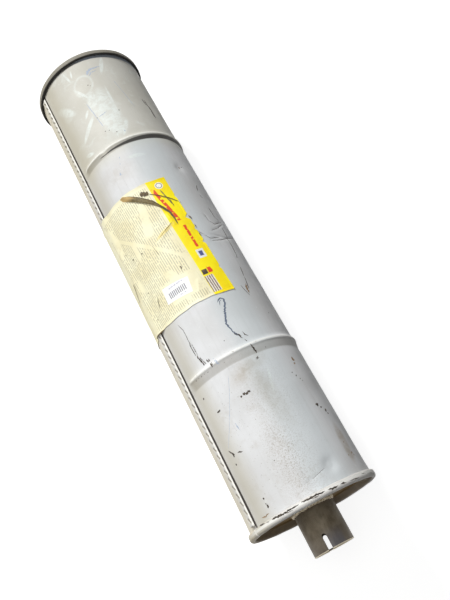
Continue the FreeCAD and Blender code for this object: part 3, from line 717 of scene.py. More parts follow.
DARK_SPOTS = [
    (218, 19.5, 3.2, 2.4, 80), (217, 16.2, 5.0, 3.4, 80), (218, 13.9, 4.2, 3.4, 85),
    (217, 11.9, 4.6, 3.4, 85),
    (217.5, 43.9, 6.2, 2.5, 85), (193, 53, 3.0, 2.5, 0), (280, 53.2, 2.5, 2.3, 0),
    (262, -39.7, 5.4, 4.6, 60), (266, -43, 3.8, 2.6, 60), (271, -47, 5.0, 3.4, 40), (275, -48, 3, 2.2, 0),
    (216, -32, 2.6, 1.2, 30), (221, -34.5, 3.2, 1.4, 30), (226, -37, 2.4, 1.2, 30),
    (229, -38.5, 1.4, 1.0, 0),
    (329, 43.5, 2.8, 2.5, 0), (338, 43.1, 4.6, 2.8, 10), (335, 43.8, 2.2, 1.7, 0), (-120, -41, 2, 1.4, 0),
    (-301, 9.3, 2.2, 1.6, 40), (-298, 7.5, 1.4, 1.1, 0), (-240, 16.8, 1.7, 1.5, 0), (-237, -7, 2, 1.6, 0),
    (-212, 15.9, 2.2, 1.8, 0), (-210, 11.8, 2.0, 1.2, 80), (-202, 5.8, 1.8, 1.5, 0), (40, -46, 2, 1.4, 0),
    (130, -46, 2, 1, 0), (176, -20, 1.4, 1.2, 0), (148, 10, 1.4, 1.2, 0), (300, 20, 1.6, 1.2, 0),
    *hatch((128, 39.6), (143, 39.2), 4.6, 0.9, 12, 1.7), *hatch((130, 37.6), (143, 37.2), 4.0, 0.8, 12, 2.0),
    *hatch((147, 38.2), (161, 35.6), 4.8, 1.2, 14, 1.5), *hatch((150, 36.2), (160, 34.0), 4.0, 1.0, 14, 1.8),
    *hatch((157, 31.6), (167, 29.2), 3.8, 1.3, 14, 1.5), *hatch((158, 30.0), (166, 28.2), 3.0, 1.1, 14, 1.8),
    *hatch((161, 57), (163, 42), 1.6, 0.9, 70, 5.0), *hatch((161, 24), (161.5, 2), 1.2, 0.9, 80, 4.0),
    *hatch((170, 50.3), (171, 35.5), 2.0, 0.8, 60, 4.5), *hatch((172, 26), (173, 4.5), 1.2, 0.6, 60, 9.0),
]
RUST_STREAKS = [
    [(84, -37.2, 1.4), (91, -35.5, 3.6), (99, -35.2, 1.2)],
    [(345, 45, 1.0), (346, 50, 1.8), (345, 54.1, 1.2)],
]
RUST_SPOTS = [
    (199, -42, 7, 4, 0), (205, -41, 3.4, 2.6, 0), (-119, -38, 3, 2, 0), (313, -46.3, 2, 1.6, 0),
    (327, -49.8, 3.4, 2.2, 40), (330, -51.3, 2.4, 1.8, 0), (329, -42.8, 2, 1.4, 0),
]
BLUE_STREAKS = [
    [(99, -0.5, 1.2), (95, -4, 2.0), (97, -7.0, 2.0), (104, -6.6, 2.4), (117, -1.8, 2.8), (129, 1.4, 2.6),
     (136, 0.6, 1.8), (143, -0.6, 1.4), (151.4, -3.6, 1.0)],
    [(104, -1.5, 1.0), (99, -2.5, 1.4), (98, -5.0, 1.2)],
]
PALE_BLUE_STREAKS = [
    [(-319, 5.4, 3.0), (-325, 3.0, 4.2), (-328, -1.6, 3.4), (-328, -4.7, 2.4), (-329, -12.2, 1.2)],
    [(-316, 3.6, 2.4), (-321, 0.8, 1.8), (-322, -6, 1.4)],
    [(-273, 20.1, 0.9), (-256, 18.4, 1.4), (-241, 17.1, 1.1), (-221, 15.4, 1.0)],
    [(-240, 15.2, 0.9), (-241, 10, 1.2), (-243, 4.9, 0.8)],
    [(-162, 15.2, 2.2), (-159, 16.1, 2.2)], [(-153, 17.9, 2.2), (-150, 18.7, 2.2)],
    [(-139, 22.2, 2.2), (-136, 22.7, 3.0), (-134, 21.0, 1.4)],
    [(-200, -1.2, 3.0), (-197, -1.8, 3.0)], [(-296, -17.9, 0.5), (-270, -21.6, 0.7), (-239, -25.2, 0.5)],
    [(188, 21, 0.45), (204, 26.1, 0.55), (224, 34, 0.5), (243, 43, 0.55), (260, 52.9, 0.45)],
    [(240, 34.9, 0.8), (245, 34.6, 1.6), (251, 33.9, 0.9)],
    [(160, 26, 3.0), (166, 24.4, 3.4), (171, 23, 2.4)],
]
# Chalky smears: (place, half sizes, tilt off the axis)
SMEARS = [
    ((-287, 46.3), (19.5, 6.6), -42), ((-233, 30.3), (21, 3.4), 48), ((-256, 24.8), (7, 2.0), 38),
    ((-333, 26), (12, 1.7), -13), ((-334, 20.2), (6.5, 1.4), 12), ((-293, 20), (16, 2.2), -28),
    ((-240, 4), (44, 15), 2), ((-216, 5), (22, 11), -20), ((-268, 13), (20, 8), 8),
    ((-197.5, 42.6), (7.5, 3), -69), ((-250, -5), (34, 2.2), 2), ((-205, -4), (14, 4), 30),
    ((215, -9.6), (16, 1.6), 14), ((-196, 6.5), (4, 0.9), 8), ((-152, 0), (3, 12), 12),
    ((-330, -14), (16, 3), 20),
]
TEAR_STREAKS = [
    [(-91.8, 15.2, 2), (-91.2, 14.4, 6.8), (-88.5, 11, 7.2), (-86.4, 8.2, 6.2), (-86, 7.2, 2.0)],
    [(-85, 7.1, 1.2), (-76, -1.3, 1.4), (-68, -8.1, 1.7), (-56, -16.9, 0.9)],
    [(-68, -8.1, 0.8), (-53, -8.8, 1.1)],
    [(-100.5, 27.6, 0.5), (-93.5, 21.6, 1.0), (-85.5, 15.6, 1.3), (-72.5, 7.2, 1.8), (-59, 2.0, 1.8),
     (-47, -1.9, 1.5), (-34.6, -3.5, 1.0), (-24.4, -3.6, 0.6)],
    [(-94, 31.5, 0.3), (-86, 24.4, 0.4), (-76, 16.4, 0.5), (-66, 10.0, 0.4)],
    [(-17.5, 18.7, 0.4), (-24.6, 9.4, 0.6), (-31.9, -0.4, 0.4)],
    [(5, 68, 2.2), (9, 68.3, 1.6), (26, 71.5, 0.9), (40, 76.1, 0.9), (52, 78.3, 0.6)],
    [(-17, 27.7, 0.4), (4, 25.4, 0.6)], [(48, 47.6, 0.7), (61, 50.5, 0.8)],
    [(-34, -16.9, 1.2), (-30, -17.8, 2.4), (-26, -18.4, 1.0)], [(-18, -18.2, 1.4), (-11, -18.4, 0.9)],
    [(-4, -17.8, 1.6), (3, -18.0, 1.4)], [(86, 72, 1.4), (87, 64, 2.2), (87, 58, 1.0)],
]
TEAR_SPOTS = [(-20, 53.2, 3.2, 2.4, 0), (-16, 40.6, 2.8, 1.7, 70), (33, 55, 2.4, 1.2, 0),
              (-35, 60, 1.6, 1.2, 0), (70, 60, 1.6, 1.2, 0), (34, 13, 6, 1.6, 0)]
FOLD_STREAKS = [
    [(-103, 35.0, 3), (-100, 32.0, 6.5), (-96.4, 28.4, 7.6), (-89.1, 22.3, 6.8), (-81.1, 16.3, 6.2),
     (-69, 7.9, 5.4), (-56.6, 1.6, 4.2), (-46.8, -2.2, 3.2), (-34.6, -3.5, 2.2), (-24.4, -3.6, 1.0)],
]
# Bare metal on the outer bend of the outlet rim, where the paint was knocked off
RIM_CHIPS = [
    [(351.0, 58.0, 0.8), (351.6, 53.2, 1.5), (352.0, 51.0, 0.7)], [(352.2, 49.5, 0.8), (352.8, 46.5, 1.7)],
    [(352.7, 43.5, 1.0), (353.0, 41.8, 2.4), (353.9, 34.5, 2.4), (354.2, 26.4, 1.8), (353.4, 18.5, 1.5)],
    [(353.3, 16.5, 1.3), (353.6, 9.1, 2.5), (353.9, 2.6, 2.3), (354.8, -3.2, 1.2)],
    [(354.6, -5.5, 1.0), (355.2, -8.5, 3.2), (355.5, -12, 2.8), (355.6, -14.5, 1.0)],
    [(355.5, -16.5, 1.2), (355.8, -19.5, 3.0), (355.9, -22, 1.0)],
    [(356.2, -25.5, 0.8), (356.5, -31, 1.1), (356.9, -36, 0.7)], [(355.4, 31, 0.8), (355.6, 24, 1.0)],
    [(355.6, 8, 0.7), (355.9, 2, 1.0)], [(354.0, -40, 0.6), (355.0, -46, 0.9)],
    [(356, -52, 0.7), (356.5, -60, 0.9)],
    [(354, 120, 0.8), (355, 128, 1.6), (354.5, 138, 0.9)], [(355.5, 205, 0.9), (356, 214, 1.4)],
]


def over_rim(x, angle):
    """Outside of the outlet rim, round its outer bend."""
    wobble, push = rim_wave(angle, RIM_SEED)
    past = max(0, x - push - RIM_FACE + RIM_BEND)
    return RIM_RADIUS + wobble - RIM_BEND + math.sqrt(max(0, RIM_BEND ** 2 - past ** 2))


# Materials

def put(socket, value):
    """Links a node's output to an input, or sets the input to a number or a colour."""
    if isinstance(value, Value):
        value = value.socket
    if isinstance(value, bpy.types.NodeSocket):
        socket.id_data.links.new(value, socket)
    else:
        socket.default_value = value


def fill(node, values):
    """Sets or links several inputs of a node, each by its name or number."""
    for key, value in values.items():
        put(node.inputs[key], value)


def maths(operation, *values):
    """A maths node. At least one of its values comes from another node."""
    tree = [value for value in values if isinstance(value, Value)][0].socket.id_data
    node = tree.nodes.new("ShaderNodeMath")
    node.operation = operation
    fill(node, dict(enumerate(values)))
    return Value(node.outputs[0])


def mix(share, first, second):
    """Colour between two others. At a share of 1 it is the second."""
    node = share.socket.id_data.nodes.new("ShaderNodeMix")
    node.data_type = "RGBA"
    put(node.inputs["Factor"], share)
    for name, colour in (("A", first), ("B", second)):
        socket = [item for item in node.inputs if item.name == name and item.type == "RGBA"][0]
        put(socket, colour if isinstance(colour, Value) else (*colour, 1))
    return Value([item for item in node.outputs if item.type == "RGBA"][0])


def box(u, v, low, high, soft=0.3):
    """1 inside a rectangle, with soft edges."""
    return u.band(low[0], high[0], soft) * v.band(low[1], high[1], soft)


class Value:
    """What a node gives out. Arithmetic on it adds further nodes."""

    def __init__(self, socket):
        self.socket = socket

    def __add__(self, other):
        return maths("ADD", self, other)

    def __sub__(self, other):
        return maths("SUBTRACT", self, other)

    def __rsub__(self, other):
        return maths("SUBTRACT", other, self)

    def __mul__(self, other):
        return maths("MULTIPLY", self, other)

    def __truediv__(self, other):
        return maths("DIVIDE", self, other)

    def __abs__(self):
        return maths("ABSOLUTE", self)

    def most(self, *others):
        """The largest of this value and the others."""
        result = self
        for other in others:
            result = maths("MAXIMUM", result, other)
        return result

    def step(self, low, high, start=0.0, stop=1.0):
        """Smooth change from start to stop while the value goes from low to high."""
        node = self.socket.id_data.nodes.new("ShaderNodeMapRange")
        node.interpolation_type = "SMOOTHSTEP"
        fill(node, {"Value": self, "From Min": low, "From Max": high, "To Min": start, "To Max": stop})
        return Value(node.outputs["Result"])

    def fall(self, low, high):
        """1 below low, 0 above high."""
        return self.step(low, high, 1.0, 0.0)

    def band(self, low, high, soft=0.3):
        """1 between low and high, 0 outside, with soft edges."""
        return self.step(low - soft, low + soft) * self.fall(high - soft, high + soft)


class Shader:
    """A paint whose colour is laid in coats, with coordinates on the muffler for its nodes."""

    def __init__(self, name, colour, roughness, metallic=0.0):
        self.material = bpy.data.materials.new(name)
        self.material.use_nodes = True
        self.nodes = self.material.node_tree.nodes
        self.surface = self.nodes["Principled BSDF"]
        self.base = colour
        self.bumps = None
        fill(self.surface, {"Base Color": (*colour, 1), "Roughness": roughness, "Metallic": metallic})
        scaled = self.nodes.new("ShaderNodeVectorMath")
        scaled.operation = "MULTIPLY"
        fill(scaled, {0: self.nodes.new("ShaderNodeTexCoord").outputs["Object"], 1: (1 / MM,) * 3})
        self.place = scaled.outputs[0]
        parts = self.nodes.new("ShaderNodeSeparateXYZ")
        put(parts.inputs[0], self.place)
        self.x, y, z = [Value(part) for part in parts.outputs]
        self.arc = maths("ARCTAN2", y * -1.0, z) * SHELL_RADIUS
        self.radius = maths("SQRT", y * y + z * z)

    def noise(self, scale, detail=3.0, rough=0.55, warp=0.0, where=None):
        """Cloudy values about 0.5."""
        node = self.nodes.new("ShaderNodeTexNoise")
        fill(node, {"Vector": where or self.place, "Scale": scale, "Detail": detail,
                    "Roughness": rough, "Distortion": warp})
        return Value(node.outputs["Fac"])

    def grain(self, along, across, detail=1.0, rough=0.5, warp=0.0):
        """Noise on the unrolled shell, each way scaled by itself."""
        node = self.nodes.new("ShaderNodeCombineXYZ")
        fill(node, {0: self.x * along, 1: self.arc * across})
        return self.noise(1.0, detail, rough, warp, node.outputs[0])

    def reach(self, place, size, tilt):
        """Distance from a place on the unrolled shell, 1 at the edge of a tilted oval."""
        cosine, sine = math.cos(math.radians(tilt)), math.sin(math.radians(tilt))
        along, across = self.x - float(place[0]), self.arc - arc(place[1])
        u = along * (cosine / size[0]) + across * (sine / size[0])
        v = across * (cosine / size[1]) - along * (sine / size[1])
        return maths("SQRT", u * u + v * v)

    def oval(self, place, size, tilt=0, soft=0.35):
        """1 inside a tilted oval, 0 outside, with a soft edge."""
        return self.reach(place, size, tilt).fall(1 - soft, 1 + soft)

    def ground(self, share, first, second):
        """Makes the colour a blend of two."""
        self.base = mix(share, first, second)
        put(self.surface.inputs["Base Color"], self.base)

    def coat(self, share, colour):
        """Lays a colour over those before it."""
        self.ground(share, self.base, colour)

    def rough(self, value):
        put(self.surface.inputs["Roughness"], value)

    def bump(self, height, distance):
        """Adds a layer of relief, distance in millimetres."""
        node = self.nodes.new("ShaderNodeBump")
        fill(node, {"Distance": distance * MM, "Height": height})
        if self.bumps:
            put(node.inputs["Normal"], self.bumps)
        self.bumps = node.outputs["Normal"]
        put(self.surface.inputs["Normal"], self.bumps)


def grey(level, warmth=0.0):
    """Linear colour of a grey written as a display level from 0 to 255, warmer if asked."""
    base = (level / 255) ** 2.2
    return (base * (1 + warmth), base * (1 + warmth * 0.35), base * (1 - warmth))


def rgb(red, green, blue):
    """Linear colour from display levels."""
    return tuple((level / 255) ** 2.2 for level in (red, green, blue))


def weathered(shader, level, warm, cloud, patch, smeared):
    """Blotches, streaks, paler paint towards the inlet, chalk and scuffs."""
    cloudy = cloud.step(0.35, 0.68)
    shader.ground(cloudy, grey(level - 8, warm - 0.01), grey(level + 6, warm - 0.02))
    shader.coat(shader.grain(0.006, 0.22, 4, 0.6).step(0.48, 0.75) * 0.35, grey(level - 22))
    shader.coat(shader.x.step(-185, -150, 0.8, 0.0), mix(cloudy, rgb(197, 194, 182), rgb(206, 204, 194)))
    chalk = patch.step(0.54, 0.66) * shader.x.step(-185, -205) * 0.3
    if smeared:
        smears = shader.reach((-304, 14), (19, 15), 20).band(0.86, 1.02, 0.14) * 0.8
        smears = smears.most(*[shader.oval(*smear) for smear in SMEARS])
        chalk = chalk.most(smears * shader.noise(0.13, 5, 0.65, 0.8).step(0.34, 0.6, 0.36, 0.85))
    shader.coat(chalk, rgb(228, 234, 231))
    shader.coat(shader.noise(0.11, 6, 0.7, 1.2).step(0.6, 0.68) * 0.3, grey(level + 18, -0.01))


def dirt_with_shade_and_light_bands(shader, dirty):
    """Specks, brown haze, a painted shade band just short of the seam, a painted warm light band beyond it,
    and sprayed grime.
    """
    near = shader.x.step(175, 215) * shader.arc.band(-35, 72, 14)
    shader.coat(shader.noise(0.55, 2, 0.5).step(0.69, 0.74) * dirty * (near * 0.42 + 0.14), rgb(104, 84, 62))
    brown = shader.oval((190, 2), (9, 22), -20, 0.8).most(
        shader.oval((314, -47), (22, 7), 4, 0.4), shader.oval((228, -3), (34, 9), -6, 0.8),
        shader.oval((-140, 24), (16, 26), 0, 0.8) * 0.45)
    brown = brown * shader.noise(0.09, 5, 0.65, 0.8).step(0.35, 0.6, 0.25, 0.5)
    haze = near * shader.noise(0.05, 5, 0.7).step(0.5, 0.7) * 0.16
    shader.coat(haze.most(brown), rgb(150, 132, 104))
    # Painted shade in a band just short of the seam.
    shader.coat(shader.arc.band(64, 93, 16) * 0.6, rgb(178, 171, 150))
    # Painted warm light in a band beyond the seam.
    shader.coat(shader.arc.band(100, 150, 8) * 0.6, rgb(226, 214, 184))
    sprayed = shader.oval((306, 5), (52, 20), 0, 0.9).most(shader.oval((240, -3), (62, 24), 0, 0.9) * 0.6)
    shader.coat(sprayed * shader.noise(0.62, 4, 0.8).step(0.47, 0.64) * 0.66, rgb(128, 110, 84))


def beside_folds(shader):
    """Painted light and shade by the folds: a painted cool sky tint on the top, a painted shadow with dirt
    at the inlet rim's foot, painted shade with some dirt on the beads' near flanks, a painted highlight on
    their crests with chipped nicks, and a painted shadow line with dirt on the inlet bead's near flank.
    """
    # Painted cool sky tint on the top of the shell.
    cool = shader.arc.band(-44, 6, 14) * 0.42 * shader.x.step(-190, -175)
    shader.coat(cool, rgb(196, 207, 212))
    # Painted shadow cast by the inlet rim on the shell at its foot, slate-blue where the sky lights it and
    # nearly black elsewhere, with some dirt.
    low = RIM_WIDTH - RIM_FACE
    foot = (shader.x - shader.arc.step(-60, 50, 5.6, 2.0)).step(low - 0.4, low + 0.8, 0.85, 0.0)
    shader.coat(foot, mix(shader.arc.step(0, 30), rgb(112, 121, 134), rgb(50, 46, 44)))
    beside = shader.arc.fall(arc(54), arc(61))
    nicks = shader.noise(0.45, 3, 0.6).step(0.60, 0.66)
    for place, _, flank in BEADS:
        # Painted shade with some dirt on each bead's near flank.
        shader.coat(shader.x.band(place - 0.5, place + flank + 1, 1.0) * beside * 0.32, rgb(134, 124, 104))
        # Painted highlight on each bead's crest; the nicks laid over it below are chipped paint.
        crest = shader.x.band(place - 4.2, place - 1.0, 0.8) * beside
        shader.coat(crest * 0.55, rgb(240, 240, 235))
        shader.coat(crest * nicks * 0.5, rgb(140, 134, 122))
    # Painted shadow line with dirt on the inlet bead's near flank, widest towards the right.
    half = shader.arc.step(arc(-25), arc(36), 3.1, 0.6)
    line = (abs(shader.x - (BEADS[0][0] + 3.9)) - half).step(-0.4, 0.4, 0.92, 0.0)
    line = line * shader.arc.fall(arc(30), arc(36)) * shader.arc.step(arc(-100), arc(-90))
    shader.coat(line, rgb(48, 46, 45))


def seam_gap(shader):
    """Painted shadow with dirt in the gap under the seam's nose, and a painted highlight on the edge over
    it.
    """
    nose = arc(SEAM_ANGLE) - SEAM_WIDTH / 2 - SEAM_NOSE
    below = shader.radius.fall(SHELL_RADIUS + 1.0, SHELL_RADIUS + 1.4)
    wide = shader.x.step(-340, 300, 0.8, 1.25)
    open_side = (shader.arc + wide).step(nose - 0.9, nose - 0.4, 0.0, 0.92)
    # Painted shadow, with dirt, in the gap beside the seam's nose.
    shader.coat(open_side * below * shader.arc.fall(nose + 1.6, nose + 2.0), rgb(58, 52, 47))
    # Painted highlight along the seam's upper edge.
    shader.coat(shader.arc.band(nose - 0.5, nose + 2.4, 0.2) * (1.0 - below) * 0.85, rgb(250, 248, 242))


def notch_shade_and_dirt(shader):
    """1 in the seam's notches, where painted shade with dirt lies, by the same rule as their shape."""
    first, second = [maths("SINE", shader.x * (1 / length) + phase) * size
                     for length, phase, size in SEAM_WANDER]
    offset = arc(SEAM_ANGLE) - (shader.arc + (first + second))
    slipped = shader.x + maths("SINE", shader.x * (1 / NOTCH_SLIP[0])) * NOTCH_SLIP[1]
    along = (maths("FRACT", slipped * (1 / NOTCH_PITCH) + 0.5) - 0.5) * NOTCH_PITCH
    top = shader.radius.step(SHELL_RADIUS + 1.3, SHELL_RADIUS + 1.7)
    return notch_share(along, offset, Value.fall) * top


def cap_highlight_shade_and_grime(shader, patch, share):
    """A painted highlight round the cap's crown, browner paint further round from the top, and painted shade
    with grime on its disc.
    """
    # Painted highlight round the rim's crown.
    crown = shader.x.band(RIM_FACE - RIM_WIDTH + 1.5, RIM_FACE - 4.2, 0.8)
    crown = crown * shader.radius.step(RIM_RADIUS - 2.5, RIM_RADIUS - 1.5) * 0.7
    shader.coat(crown, rgb(248, 248, 244))
    shader.coat(shader.arc.step(70, 115, 0.0, 0.45), rgb(150, 136, 108))
    # Painted shade with brown grime on the disc inside the recess.
    grime = mix(patch.step(0.35, 0.65), rgb(110, 88, 56), rgb(136, 114, 78))
    shader.coat(shader.radius.fall(CAP_BORE - 1.5, CAP_BORE + 2.5) * share, grime)


def enamel(name, level, dirty=1.0, recess=0.0, warm=0.0):
    """Satin heat-proof grey paint, for the shell or for a cap whose recess has painted shade and grime."""
    shader = Shader(name, grey(level), 0.55)
    put(shader.surface.inputs["Specular IOR Level"], 0.1 if recess else 0.25)
    cloud = shader.noise(0.012, 4, 0.6)
    patch = shader.noise(0.045, 5, 0.65, 0.6)
    weathered(shader, level, warm, cloud, patch, not recess)
    dirt_with_shade_and_light_bands(shader, dirty)
    if not recess:
        beside_folds(shader)
    seam_gap(shader)
    if not recess:
        # Painted shade with dirt in the seam's notches.
        shader.coat(notch_shade_and_dirt(shader) * 0.75, rgb(124, 116, 96))
    scratches = shader.grain(0.05, 2.6, 2, 0.4, 0.8).step(0.70, 0.74) * cloud.step(0.45, 0.6) * 0.4
    shader.coat(scratches, grey(level - 60, 0.05))
    if recess:
        cap_highlight_shade_and_grime(shader, patch, recess)
    shader.rough(patch.step(0.3, 0.75, 0.48, 0.68))
    shader.bump(shader.noise(0.9, 3, 0.6), 0.05)
    shader.bump(shader.noise(0.16, 4, 0.6), 0.12)
    shader.bump(scratches, -0.05)
    return shader


def inlet_enamel_with_fold_shade():
    """The inlet cap's paint, darker on its rim, and nearly black as painted shade in the fold behind it."""
    shader = enamel("inlet_enamel_with_fold_shade", 200, 1.6, 0.75)
    # The rim's outside painted darker.
    dark_rim_tone = mix(shader.noise(0.12, 5, 0.65), rgb(112, 108, 98), rgb(150, 145, 132))
    shader.coat(shader.radius.step(SHELL_RADIUS, SHELL_RADIUS + 1.2) * 0.8, dark_rim_tone)
    # Painted shade in the fold behind the rim, nearly black.
    fold = RIM_WIDTH - RIM_FACE
    shader.coat(shader.x.step(fold - 1.5, fold - 0.6) * 0.9, rgb(40, 39, 40))
    return shader


def stub_steel():
    """Dull brown-grey tube, its browns kept dark partly as painted shade, with blotchy tone, a bluish
    painted shade on one side towards the mouth, and a drawn grain.
    """
    shader = Shader("stub_steel", rgb(118, 109, 96), 0.42, 0.35)
    grain = shader.grain(0.05, 1.4, 4, 0.6)
    stain = shader.noise(0.06, 4, 0.6, 0.5)
    # Dark browns: partly the oxidised steel, partly painted shade.
    shader.ground(stain.step(0.35, 0.65), rgb(94, 84, 67), rgb(74, 64, 47))
    mouth = abs(shader.x).step(PIPE_END - 26, PIPE_END - 4, 0.0, 0.5)
    shader.coat(mouth, rgb(118, 110, 99))
    # Bluish painted shade on one side, stronger towards the mouth.
    shader.coat(shader.arc.band(-38, 24, 12) * (mouth * 1.3), rgb(80, 81, 92))
    shader.coat(abs(shader.x).step(PIPE_END - 1.3, PIPE_END - 0.7, 0.0, 0.85), rgb(240, 228, 202))
    shader.coat(grain.step(0.4, 0.7) * 0.3, rgb(126, 118, 104))
    shader.coat(shader.noise(0.35, 5, 0.7).step(0.62, 0.7) * 0.5, rgb(96, 66, 42))
    shader.rough(stain.step(0.3, 0.7, 0.48, 0.64))
    shader.bump(grain, 0.02)
    shader.bump(shader.noise(0.8, 3, 0.5), 0.06)
    return shader


def weld_metal():
    """Rough weld under thin paint, brown in its pits."""
    shader = Shader("weld_metal", rgb(150, 140, 120), 0.5, 0.35)
    lumps = shader.noise(0.5, 5, 0.7, 0.4)
    shader.ground(lumps.step(0.35, 0.55), rgb(120, 98, 70), rgb(206, 194, 168))
    shader.rough(lumps.step(0.3, 0.7, 0.62, 0.4))
    shader.bump(lumps, 0.5)
    return shader


RED = rgb(222, 70, 34)
BARCODE = ((60, -12), (85, -0.6))
# Blocks printed on the label's strip: lower corner, upper corner, colour, if it leans, if it is broken up
STRIP_BLOCKS = [
    ((-90, -10.6), (-30, -6.2), RED, True, True),
    ((-84, -17.6), (-58, -15.8), rgb(120, 112, 66), True, False),
    ((-21, -16.6), (16, -13.0), RED, False, True),
    ((20, -19), (33.5, -9), rgb(232, 234, 238), False, False),
    ((23, -16.6), (30.5, -11.4), rgb(74, 80, 132), False, False),
    ((49, -14.5), (57, -9), RED, False, False),
    ((50, -8), (57.5, -1), rgb(54, 42, 34), False, False),
    (*BARCODE, rgb(240, 234, 220), False, False),
]


def printed_rows(shader, u, v):
    """1 on the faint rows of dashes on the cream sheet."""
    dashes = maths("FRACT", v / 3.0).band(0.2, 0.62, 0.12) * shader.grain(0.3, 0.34).step(0.36, 0.44)
    field = box(u, v, (-97, 4), (84, 94), 1.0) * shader.grain(0.018, 0.05, 0).step(0.36, 0.40)
    break_line = v + (u + 20.0) * 0.9
    field = field * (1.0 - break_line.band(40, 47, 1.0)) * (1.0 - box(u, v, (42, 4), (74, 52), 1.0))
    return dashes * field


def printed_strip(shader, u, v):
    """Colour of the yellow strip with its blocks, bars and ring."""
    strip = mix(shader.noise(0.04, 3, 0.5).step(0.3, 0.7), rgb(255, 238, 0), rgb(252, 224, 0))
    ragged = v + (shader.noise(0.35, 2, 0.5) - 0.5) * 1.6
    leaning = ragged + (u + 60.0) * 0.16
    inked = shader.grain(0.22, 0.12).step(0.34, 0.42)
    for low, high, colour, leans, broken in STRIP_BLOCKS:
        share = box(u, leaning if leans else ragged, low, high, 0.35)
        strip = mix(share * inked if broken else share, strip, colour)
    bars = maths("FRACT", ragged / 2.9).band(0.3, 0.85, 0.12)
    strip = mix(bars * box(u, ragged, *BARCODE) * 0.85, strip, rgb(92, 58, 54))
    across, down = u + 92.0, v + 14.5
    away = maths("SQRT", across * across + down * down)
    strip = mix(away.fall(5.2, 5.8), strip, rgb(246, 246, 240))
    return mix(away.band(3.4, 4.4, 0.25), strip, rgb(120, 120, 110))


def label_paper():
    """Cream paper with a yellow strip, plain blocks of colour, faint rows of dashes, and dirt."""
    shader = Shader("label_paper", rgb(250, 246, 215), 0.62)
    u = shader.x
    v = shader.arc - (u * LABEL_SKEW + STRIP_EDGE)
    fibre = shader.noise(0.5, 5, 0.65)
    shader.ground(shader.noise(0.03, 3, 0.5).step(0.35, 0.7), rgb(242, 238, 206), rgb(234, 226, 188))
    shader.coat(printed_rows(shader, u, v) * 0.5, rgb(128, 122, 104))
    shader.coat(v.fall(-0.4, 0.4), printed_strip(shader, u, v))
    shader.coat(shader.oval((-24, 9.5), (16, 2.8), 69) * 0.6, rgb(236, 210, 96))
    shader.coat(shader.noise(0.07, 6, 0.7, 0.8).step(0.58, 0.72) * 0.28, rgb(170, 152, 110))
    shader.coat(shader.noise(0.42, 2, 0.5).step(0.72, 0.76) * 0.7, rgb(96, 90, 78))
    shader.rough(fibre.step(0.3, 0.7, 0.5, 0.68))
    shader.bump(shader.noise(0.09, 5, 0.6, 0.5), 0.5)
    shader.bump(fibre, 0.05)
    return shader


def sticker_paper():
    """White sticker with plain bars and two faint lines."""
    shader = Shader("sticker_paper", rgb(246, 246, 248), 0.45)
    u, v = shader.x, shader.arc
    bars = maths("FRACT", v / 2.6).band(0.25, 0.75, 0.12)
    shader.coat(bars * box(u, v, (55, 23.5), (63.5, 49.5)) * 0.9, rgb(84, 84, 98))
    dashes = shader.grain(0.1, 0.8).step(0.44, 0.5)
    for low, high in (((49, 24), (51, 46)), ((65.5, 24), (66.8, 38))):
        shader.coat(box(u, v, low, high) * dashes * 0.7, rgb(146, 144, 170))
    shader.bump(shader.noise(0.2, 3, 0.5), 0.1)
    return shader


def fold_paper():
    """Brown inside of the label's fold, paler towards its tip."""
    shader = Shader("folded_paper", rgb(112, 100, 64), 0.7)
    tone = shader.noise(0.5, 5, 0.65, 0.4)
    olive = mix(tone.step(0.35, 0.65), rgb(122, 108, 70), rgb(84, 74, 50))
    shader.ground(shader.x.step(-98, -87), rgb(182, 152, 98), olive)
    shader.bump(tone, 0.1)
    return shader


def plain(name, colour, second, roughness, metallic=0.0, scale=0.4, relief=0.1):
    """Two tones of one substance mixed by noise, with matching relief."""
    shader = Shader(name, colour, roughness, metallic)
    tone = shader.noise(scale, 5, 0.65, 0.4)
    shader.ground(tone.step(0.35, 0.65), colour, second)
    shader.rough(tone.step(0.3, 0.7, roughness - 0.08, roughness + 0.08))
    shader.bump(tone, relief)
    return shader


# The part

body_paint = enamel("body_enamel", 216)
cap_paint = enamel("cap_enamel", 209, 1.6, 1.0, 0.04)
steel = stub_steel()
weld_paint = weld_metal()
finish_piece(make_shell(), body_paint, "body_enamel", "shell")
finish_piece(make_seam(), body_paint, "body_enamel", "shell")
ENDS = ((1, "outlet", RIM_SEED, cap_paint), (-1, "inlet", INLET_SEED, inlet_enamel_with_fold_shade()))
for side, end, seed, paint in ENDS:
    finish_piece(make_cap(side, f"{end}_cap_pressing", seed), paint, "cap_enamel", f"{end}_end_cap")
    finish_piece(make_weld(side, f"{end}_weld_bead", seed), weld_paint, "weld_metal", f"{end}_pipe_weld")
    finish_piece(make_stub(side, f"{end}_stub"), steel, "pipe_steel", f"{end}_pipe")
finish_piece(make_burr(), steel, "pipe_steel")
finish_piece(make_label(), label_paper(), "label_paper", "paper_label")
finish_piece(make_sticker(), sticker_paper(), "sticker_paper", "code_sticker")

bare_dark = plain("bare_dark", rgb(40, 36, 34), rgb(74, 64, 54), 0.55, 0.3)
rust = plain("rust", rgb(156, 130, 100), rgb(120, 98, 74), 0.8)
blue_smear = plain("blue_smear", rgb(66, 78, 100), rgb(108, 118, 134), 0.5)
pale_smear = plain("pale_smear", rgb(158, 172, 194), rgb(182, 190, 202), 0.6)
torn_edge = plain("torn_edge", rgb(58, 48, 36), rgb(104, 86, 56), 0.75)
